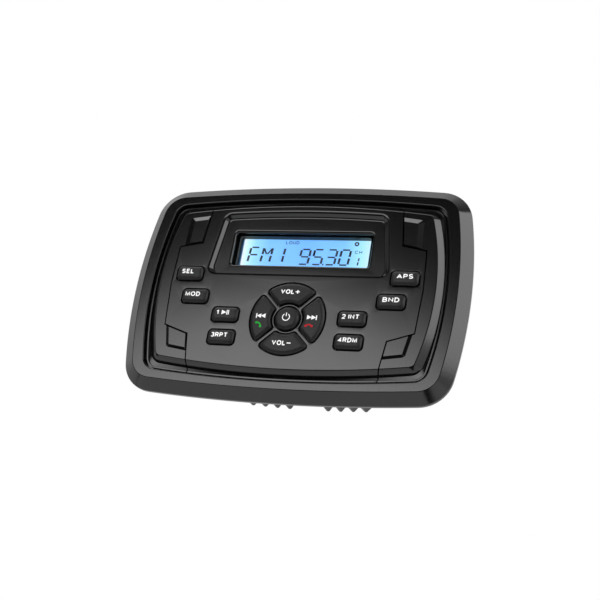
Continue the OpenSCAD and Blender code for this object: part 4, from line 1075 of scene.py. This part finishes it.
def keys_and_legends():
    """All keys, each with its prints."""
    for name, (words, width, shift) in RECT_KEYS.items():
        (x, z), crown = rect_key(name)
        placed = [printed(lettering(words, width), crown, x + shift, z + LEGEND_RISE)]
        if name == "one":
            play = shape(triangle(-0.6, PLAY_ARROW), bar(0.8, *PLAY_BAR), bar(1.5, *PLAY_BAR))
            placed.append(printed(play, crown, x + PLAY_SHIFT, z + LEGEND_RISE))
        print_on(name, name + "_key", ink_white, *placed)
    for name, (quarter_turns, *prints) in ring_prints().items():
        crown = ring_key(name, quarter_turns)
        for label, ink, marks, x, z in prints:
            print_on(label, name + "_key", ink, printed(marks, crown, x, PAD_Z + z))
    crown = power_key()
    tall, rise = POWER_BAR
    sign = shape(band(POWER_RING, POWER_STROKE, 125, 415), bar(0, POWER_STROKE, tall, rise))
    print_on("power", "power_key", ink_white, printed(sign, crown, -0.1, PAD_Z + 0.1))


# Display segments, placed by Geometry Nodes

# Ends of each segment in a digit one unit wide and two tall, and the segments of each glyph
SEGMENTS = {
    "a": ((0, 2), (1, 2)), "b": ((1, 1), (1, 2)), "c": ((1, 0), (1, 1)), "d": ((0, 0), (1, 0)),
    "e": ((0, 0), (0, 1)), "f": ((0, 1), (0, 2)), "g": ((0, 1), (1, 1)),
    "h": ((0, 2), (0.5, 1)), "k": ((1, 2), (0.5, 1)), ".": ((-0.29, 0.0), (-0.13, 0.0)),
}
GLYPHS = {"F": "aefg", "M": "bcefhk", "1": "bc", "9": "abcdfg", "5": "acdfg", ".": ".", "3": "abcdg",
          "0": "abcdef"}
# A digit's width and height, lean and strokes, its pitch in widths, and the share open between segments
DIGIT = (4.3, 7.5)
DIGIT_LEAN = 0.1
UPRIGHT_STROKE = 1.05
LEVEL_STROKE = 0.72
SLANT_STROKE = 0.7
DIGIT_PITCH = 1.46
SEGMENT_GAP = 0.22
# How much heavier the strokes of a small digit are than its height alone would make them
SMALL_DIGIT_WEIGHT = 0.1
SEGMENT_THICKNESS = 0.05
SEGMENT_LIFT = 0.04
# What the digits say and where each word starts, then the channel with its digit's width and height
DIGIT_WORDS = [("FM", -26.9, 15.4), ("1", -14.6, 15.4), ("95.30", -2.3, 14.8)]
CHANNEL = ("1", 24.0, 14.6, 1.4, 4.0)
# Small words with their centres, widths and heights, their stroke, and a ring's centre, radius and width
SMALL_WORDS = [("LOUD", -6.6, 25.6, 6.4, 1.6), ("CH", 25.1, 21.3, 3.4, 1.5)]
SMALL_STROKE = 0.17
RING_MARK = (23.8, 25.4, 0.75, 0.7)


def strokes(words, x, z, width, height):
    """Centre, turn, length and stroke of every driven segment of some words."""
    made = []
    for letter in words:
        for key in GLYPHS[letter]:
            ends = []
            for u, v in SEGMENTS[key]:
                ends.append(np.array([x + u * width + v * height / 2 * DIGIT_LEAN, z + v * height / 2]))
            along = ends[1] - ends[0]
            length = np.linalg.norm(along)
            share = 1 - SEGMENT_GAP if length > 1 else 1.0
            stroke = SLANT_STROKE if key in "hk" else LEVEL_STROKE if key in "adg." else UPRIGHT_STROKE
            stroke *= min(1.0, height / DIGIT[1] + SMALL_DIGIT_WEIGHT)
            made.append(((ends[0] + ends[1]) / 2, math.atan2(along[1], along[0]), length * share, stroke))
        x += 0.0 if letter == "." else width * DIGIT_PITCH
    return made


def node_tree(name, inputs):
    """An empty Geometry Nodes tree with named inputs."""
    tree = bpy.data.node_groups.new(name, "GeometryNodeTree")
    tree.interface.new_socket("Geometry", in_out="INPUT", socket_type="NodeSocketGeometry")
    tree.interface.new_socket("Geometry", in_out="OUTPUT", socket_type="NodeSocketGeometry")
    for key, kind in inputs.items():
        tree.interface.new_socket(key, in_out="INPUT", socket_type=kind)
    return tree, tree.nodes.new("NodeGroupInput").outputs, tree.nodes.new("NodeGroupOutput").inputs


def grown_piece(name, points, attributes, tree, values, body):
    """Runs a tree on loose points, keeps its result as a plain mesh and lets it ride on a body."""
    mesh = bpy.data.meshes.new(name)
    mesh.from_pydata([tuple(p) for p in points], [], [])
    for key, numbers in attributes.items():
        mesh.attributes.new(key, "FLOAT", "POINT").data.foreach_set("value", numbers)
    obj = linked(name, mesh)
    modifier = obj.modifiers.new("nodes", "NODES")
    modifier.node_group = tree
    for item in tree.interface.items_tree:
        if item.in_out == "INPUT" and item.name in values:
            modifier[item.identifier] = values[item.name]
    graph = bpy.context.evaluated_depsgraph_get()
    made = bpy.data.meshes.new_from_object(obj.evaluated_get(graph))
    obj.modifiers.remove(modifier)
    obj.data = made
    made.name = name
    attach(obj, body)
    return obj


def bars_on_points(name, material):
    """A tree that sets a flat bar on every point, turned and stretched by the point's own numbers."""
    tree, given, out = node_tree(name, {"Thickness": "NodeSocketFloat"})
    size = add(tree, "ShaderNodeCombineXYZ", None, {"X": 1.0, "Y": given["Thickness"], "Z": 1.0})
    segment = add(tree, "GeometryNodeMeshCube", None, {"Size": size.outputs["Vector"]})
    turn = add(tree, "GeometryNodeInputNamedAttribute", {"data_type": "FLOAT"}, {"Name": "turn"})
    reach = add(tree, "GeometryNodeInputNamedAttribute", {"data_type": "FLOAT"}, {"Name": "reach"})
    stroke = add(tree, "GeometryNodeInputNamedAttribute", {"data_type": "FLOAT"}, {"Name": "stroke"})
    angles = add(tree, "ShaderNodeCombineXYZ", None, {"Y": turn.outputs["Attribute"]})
    stretch = add(tree, "ShaderNodeCombineXYZ", None,
                  {"X": reach.outputs["Attribute"], "Y": 1.0, "Z": stroke.outputs["Attribute"]})
    copies = add(tree, "GeometryNodeInstanceOnPoints", None,
                 {"Points": given["Geometry"], "Instance": segment.outputs["Mesh"],
                  "Rotation": angles.outputs["Vector"], "Scale": stretch.outputs["Vector"]})
    solid = add(tree, "GeometryNodeRealizeInstances", None, {"Geometry": copies.outputs["Instances"]})
    coated = add(tree, "GeometryNodeSetMaterial", None,
                 {"Geometry": solid.outputs["Geometry"], "Material": material})
    tree.links.new(coated.outputs["Geometry"], out["Geometry"])
    return tree


def on_glass(points):
    """Depth of the display glass at some points."""
    return np.full(len(points), GLASS_Y)


def display_marks():
    """Station, frequency and small marks on the glass."""
    depth = GLASS_Y - SEGMENT_LIFT
    rows = []
    for word, x, z in DIGIT_WORDS:
        rows += strokes(word, x, z, *DIGIT)
    rows += strokes(*CHANNEL)
    centres = [(p[0] * MM, depth * MM, p[1] * MM) for p, *_ in rows]
    numbers = {"turn": [-a for _, a, *_ in rows], "reach": [n * MM for *_, n, _ in rows],
               "stroke": [s * MM for *_, s in rows]}
    tree = bars_on_points("driven_segments", crystal)
    grown_piece("display_segments", centres, numbers, tree, {"Thickness": SEGMENT_THICKNESS * MM},
                "receiver")
    marks = []
    for words, x, z, width, cap in SMALL_WORDS:
        marks.append(printed(lettering(words, width, cap, SMALL_STROKE), on_glass, x, z))
    x, z, radius, width = RING_MARK
    marks.append(printed(shape(band(radius, width, 0, 359)), on_glass, x, z))
    piece("display_small_marks", marks, "receiver", crystal, sharp_degrees=30)


# Contact pins: columns, rows and their spacing, thickness, length, and how deep a pin's middle sits
PIN_COLUMNS = 2
PIN_ROWS = 5
PIN_PITCH = 4.2
PIN_THICKNESS = 0.9
PIN_LENGTH = 5.4
PIN_DEPTH = 6.4


def harness_pins():
    """Contact pins in the harness socket."""
    low, high = span("harness_socket")
    centre = (low + high) / 2
    places = []
    for i in range(PIN_COLUMNS):
        for j in range(PIN_ROWS):
            x = centre[0] + (i - (PIN_COLUMNS - 1) / 2) * PIN_PITCH
            z = centre[2] + (j - (PIN_ROWS - 1) / 2) * PIN_PITCH
            places.append((x * MM, (high[1] - PIN_DEPTH) * MM, z * MM))
    tree = bars_on_points("contact_pins", tin)
    same = [PIN_THICKNESS * MM] * len(places)
    grown_piece("harness_pins", places, {"turn": [0.0] * len(places), "reach": same, "stroke": same},
                tree, {"Thickness": PIN_LENGTH * MM}, "receiver")


# Ribs of the heat sink: rounded edges along its bottom and up its back, deepest in the middle

# First rib on each side, their spacing and number
RIB_START = 9.3
RIB_PITCH = 6.03
RIB_COUNT = 4
# Half-width of a foot, radius of the edge, height, and depth of the sunk root
RIB_FOOT = 2.95
RIB_TIP = 1.3
RIB_HEIGHT = 1.85
RIB_ROOT = 1.15
# How much deeper the middle ribs are, what every rib gets at least, and where the bow ends
RIB_BOW = 0.65
RIB_PROUD = 0.05
RIB_FLAT_X = 26.0
# Front end, distance of the upper end from the top, and the bend at the back with its growth
RIB_FRONT = 8.0
RIB_END = 2.0
RIB_BEND = 0.3
RIB_BEND_GROWTH = 0.25


def rib_section(height, steps=9):
    """Half-widths and heights across one rib: a sunk root, a foot, leaning flanks and a round edge."""
    middle = height - RIB_TIP
    lean = math.acos(RIB_TIP / math.hypot(RIB_FOOT, middle)) - math.atan2(middle, RIB_FOOT)
    angles = np.linspace(lean, math.pi - lean, steps)
    tip = [(RIB_TIP * math.cos(a), middle + RIB_TIP * math.sin(a)) for a in angles]
    return [(RIB_FOOT, -RIB_ROOT), (RIB_FOOT, 0.0), *tip, (-RIB_FOOT, 0.0), (-RIB_FOOT, -RIB_ROOT)]


def heat_sink_ribs():
    """Two groups of ribs, each rib bent from the bottom to the back."""
    low, high = span("heat_sink")
    foot_z, foot_y = low[2] + RIB_HEIGHT, high[1] - RIB_HEIGHT
    parts = []
    for i in range(RIB_COUNT):
        for side in (1, -1):
            x = side * (RIB_START + i * RIB_PITCH)
            extra = RIB_PROUD + RIB_BOW * max(0.0, 1 - (x / RIB_FLAT_X) ** 2)
            across = rib_section(RIB_HEIGHT + extra)
            lines = []
            for wide, tall in across:
                y, z = foot_y + tall, foot_z - tall
                corner = [(RIB_FRONT, z), (y, z), (y, high[2] - RIB_END)]
                bent = rounded_path(corner, [RIB_BEND + RIB_BEND_GROWTH * tall])
                lines.append([(x + wide, *place) for place in bent])
            loops = [np.array(loop) for loop in zip(*lines)]
            parts += [loft(loops), polygon(loops[0]), polygon(loops[-1])]
    piece("heat_sink_ribs", parts, "receiver", anodised)


# Finishes of the solids that stay as they are

FINISHES = {
    "panel_gasket": foam, "lcd_holder": abs_dark, "lcd_backlight": acrylic,
    "front_board": board_green, "snap_domes": zinc, "board_connectors": nylon, "ribbon_cable": ribbon,
    "main_board": board_green, "tuner_module": tin, "amplifier_chip": epoxy, "capacitors": sleeve,
    "rear_chassis": powder_coat, "heat_sink": anodised, "harness_socket": nylon,
    "antenna_socket": nickel, "line_out_sockets": nickel, "fuse_holder": epoxy, "blade_fuse": fuse_orange,
    "faceplate_screws": zinc, "board_screws": zinc, "chassis_screws": zinc,
    "main_board_screws": zinc, "heat_sink_screws": zinc,
}


def finish_solids():
    """Gives every solid that no moulded piece replaces its finish."""
    half_width = span("lcd_panel")[1][0]
    made = {**FINISHES, "display_lens": clear_lens(), "lcd_panel": lit_glass(half_width)}
    for name, finish in made.items():
        mesh = nodes[name].data
        mesh.materials.clear()
        mesh.materials.append(finish)


# Stage, in metres: camera, white background and floor, two lamps, and a front screen with a flag

# Floor: height, size, and its glow to the eye
FLOOR_Z = -0.26
FLOOR_SIZE = (8, 8)
FLOOR_GLOW = 0.35
# Camera: place, directions of its axes, and lens
CAMERA_PLACE = (0.16928, -0.46009, -0.20955)
CAMERA_RIGHT = (0.94880, 0.27399, 0.15722)
CAMERA_UP = (-0.03007, -0.41713, 0.90835)
CAMERA_BACK = (0.31446, -0.86656, -0.38753)
CAMERA_LENS = 72.0


def seen_or_mirrored(tree):
    """1 for rays that see a surface directly, in a mirror or through glass, and 0 for diffuse light."""
    path = add(tree, "ShaderNodeLightPath")
    pair = add(tree, "ShaderNodeMath", {"operation": "MAXIMUM"},
               {0: path.outputs["Is Camera Ray"], 1: path.outputs["Is Glossy Ray"]})
    return add(tree, "ShaderNodeMath", {"operation": "MAXIMUM"},
               {0: pair.outputs[0], 1: path.outputs["Is Transmission Ray"]}).outputs[0]


def background():
    """A white world all round."""
    world = bpy.data.worlds.new("white_studio")
    bpy.context.scene.world = world
    world.use_nodes = True
    tree = world.node_tree
    tree.nodes.clear()
    white = add(tree, "ShaderNodeBackground", None, {"Color": colour("#ffffff"), "Strength": 1.0})
    add(tree, "ShaderNodeOutputWorld", None, {"Surface": white.outputs["Background"]})


def stage_plane(name, material, place, size):
    """A flat sheet of the stage."""
    mesh = bpy.data.meshes.new(name)
    w, h = size[0] / 2, size[1] / 2
    mesh.from_pydata([(-w, -h, 0), (w, -h, 0), (w, h, 0), (-w, h, 0)], [], [(0, 1, 2, 3)])
    mesh.materials.append(material)
    obj = linked(name, mesh)
    obj.location = place
    return obj


def floor():
    """A white floor that glows to the eye as the background does and still takes a shadow."""
    paint = bpy.data.materials.new("white_floor_paint")
    paint.use_nodes = True
    tree = paint.node_tree
    shader = tree.nodes["Principled BSDF"]
    shader.inputs["Base Color"].default_value = colour("#c9c9c9")
    shader.inputs["Roughness"].default_value = 0.8
    shader.inputs["Specular IOR Level"].default_value = 0.1
    shader.inputs["Emission Color"].default_value = colour("#ffffff")
    lift = add(tree, "ShaderNodeMath", {"operation": "MULTIPLY"},
               {0: seen_or_mirrored(tree), 1: FLOOR_GLOW})
    tree.links.new(lift.outputs[0], shader.inputs["Emission Strength"])
    stage_plane("floor", paint, (0, 0, FLOOR_Z), FLOOR_SIZE)


# Lamps: name, place, size and watts
LAMPS = [
    ("right_side", (0.921, -0.213, 0.502), (0.8, 0.78), 5.4),
    ("overhead", (-0.36, -0.35, 0.96), (0.72, 0.54), 3.3),
]


def lamp(name, place, size, watts):
    """A soft lamp aimed at the middle of the object."""
    light = bpy.data.lights.new(name, "AREA")
    light.shape = "RECTANGLE"
    light.size, light.size_y = size
    light.energy = watts
    obj = linked(name, light)
    obj.location = place
    obj.rotation_euler = (-Vector(place)).to_track_quat("-Z", "Y").to_euler()
    obj.visible_camera = False


# Front screen: how far off it stands, how high its foot is kept over the floor, and its mesh.
# A slope below the least drop counts as level, where the floor never comes in the way.
SCREEN_REACH = 1.0
SCREEN_LIFT = 0.01
LEAST_DROP = 0.01
SCREEN_COLUMNS = 80
SCREEN_ROWS = 163
# How far it reaches to the left and to the right, in degrees
SCREEN_SWEEP = (-76, 50)
# Upper edge of the screen: directions and how high it reaches there
SCREEN_TOP = ((-76, -50, -44, 50), (48, 48, 58, 58))
# Lower edge of the screen: directions and how far down it reaches there
SCREEN_FOOT = ((-66, -42, -33, -25, 50), (-30, -38, -46, -52, -52))
# Its glow: strength, upper edge, that edge's softness and bend, middle, lower edge and that edge's softness
GLOW = 4.3
GLOW_HIGH = 22.7
GLOW_FADE = 1.15
GLOW_BEND = (0.03, 0.02)
GLOW_MIDDLE = -19.8
GLOW_LOW = -3.0
GLOW_LOW_FADE = 3.0
# A faint second glow to the right: strength, direction and spread
SIDE_GLOW = 0.5
SIDE_GLOW_AT = (24.0, 32.0)
SIDE_GLOW_SPREAD = (12.0, 7.0)
# A dark flag between the right lamp and the overhead one, its size, and its painted glow, which grows
# towards its upper edge
FLAG_PLACE = (0.317, -0.183, 0.822)
FLAG_SIZE = (0.62, 0.58)
FLAG_GLOW = (0.12, 0.12, 0.8, 0.8)


def glow(turn, rise):
    """Brightness of the front screen in a direction: a low arch of light and a faint glow beside it."""
    aside = turn - GLOW_MIDDLE
    bend = np.where(aside < 0, *GLOW_BEND) * aside**2
    upper = 1 / (1 + np.exp((rise + bend - GLOW_HIGH) / GLOW_FADE))
    lower = 1 + np.exp((GLOW_LOW - rise) / GLOW_LOW_FADE)
    sideways = (turn - SIDE_GLOW_AT[0]) / SIDE_GLOW_SPREAD[0]
    upwards = (rise - SIDE_GLOW_AT[1]) / SIDE_GLOW_SPREAD[1]
    return GLOW * upper / lower + SIDE_GLOW * np.exp(-sideways**2 - upwards**2)


def black_cloth():
    """Felt that swallows light, lit from behind where its mesh says so."""
    cloth = surface("black_cloth_lit_from_behind", "#050505", "#080808", 1.0, (0.9, 1.0), 0.1, specular=0.0)
    tree = cloth.node_tree
    shader = tree.nodes["Principled BSDF"]
    shader.inputs["Emission Color"].default_value = colour("#ffffff")
    strength = add(tree, "ShaderNodeAttribute", {"attribute_name": "glow"})
    tree.links.new(strength.outputs["Fac"], shader.inputs["Emission Strength"])
    return cloth


def only_mirrored(obj):
    """Lets a stage piece show in reflections alone."""
    obj.visible_camera = False
    obj.visible_diffuse = False
    obj.visible_shadow = False


def flag(cloth):
    """A dark sheet that the edge of the face mirrors between the two lamps."""
    sheet = stage_plane("flag", cloth, FLAG_PLACE, FLAG_SIZE)
    sheet.rotation_euler = Vector(FLAG_PLACE).to_track_quat("Z", "Y").to_euler()
    sheet.data.attributes.new("glow", "FLOAT", "POINT").data.foreach_set("value", FLAG_GLOW)
    only_mirrored(sheet)


def front_screen(cloth):
    """A curved black cloth, running out over the floor, with a low arch of light that the face mirrors."""
    turns = np.linspace(*SCREEN_SWEEP, SCREEN_COLUMNS)
    foot = np.interp(turns, *SCREEN_FOOT)
    top = np.interp(turns, *SCREEN_TOP)
    rises = [foot + (top - foot) * t for t in np.linspace(0, 1, SCREEN_ROWS)]
    a, rows = np.radians(turns), []
    for rise in np.radians(rises):
        drop = np.maximum(-np.sin(rise), LEAST_DROP)
        reach = np.minimum(SCREEN_REACH, -(FLOOR_Z + SCREEN_LIFT) / drop)
        ahead = reach * np.cos(rise)
        rows.append(np.stack([ahead * np.sin(a), -ahead * np.cos(a), reach * np.sin(rise)], 1))
    points, faces = loft(rows, closed=False)
    mesh = bpy.data.meshes.new("front_screen")
    mesh.from_pydata(points, [], faces)
    values = np.concatenate([glow(turns, rise) for rise in rises])
    mesh.attributes.new("glow", "FLOAT", "POINT").data.foreach_set("value", values)
    mesh.materials.append(cloth)
    obj = linked("front_screen", mesh)
    only_mirrored(obj)


def camera():
    """The camera that the picture is taken with."""
    data = bpy.data.cameras.new("camera")
    data.sensor_width = 36.0
    data.lens = CAMERA_LENS
    data.clip_start, data.clip_end = 0.01, 50.0
    obj = linked("camera", data)
    axes = Matrix((CAMERA_RIGHT, CAMERA_UP, CAMERA_BACK)).transposed().to_4x4()
    obj.matrix_world = Matrix.Translation(CAMERA_PLACE) @ axes
    bpy.context.scene.camera = obj


bpy.context.scene.view_settings.view_transform = "Standard"
camera()
background()
floor()
for row in LAMPS:
    lamp(*row)
stage_cloth = black_cloth()
flag(stage_cloth)
front_screen(stage_cloth)
bezel_frame()
faceplate()
side_cover("side_cover_right", 1, "right_cover")
side_cover("side_cover_left", -1, "left_cover")
keys_and_legends()
display_marks()
harness_pins()
heat_sink_ribs()
finish_solids()
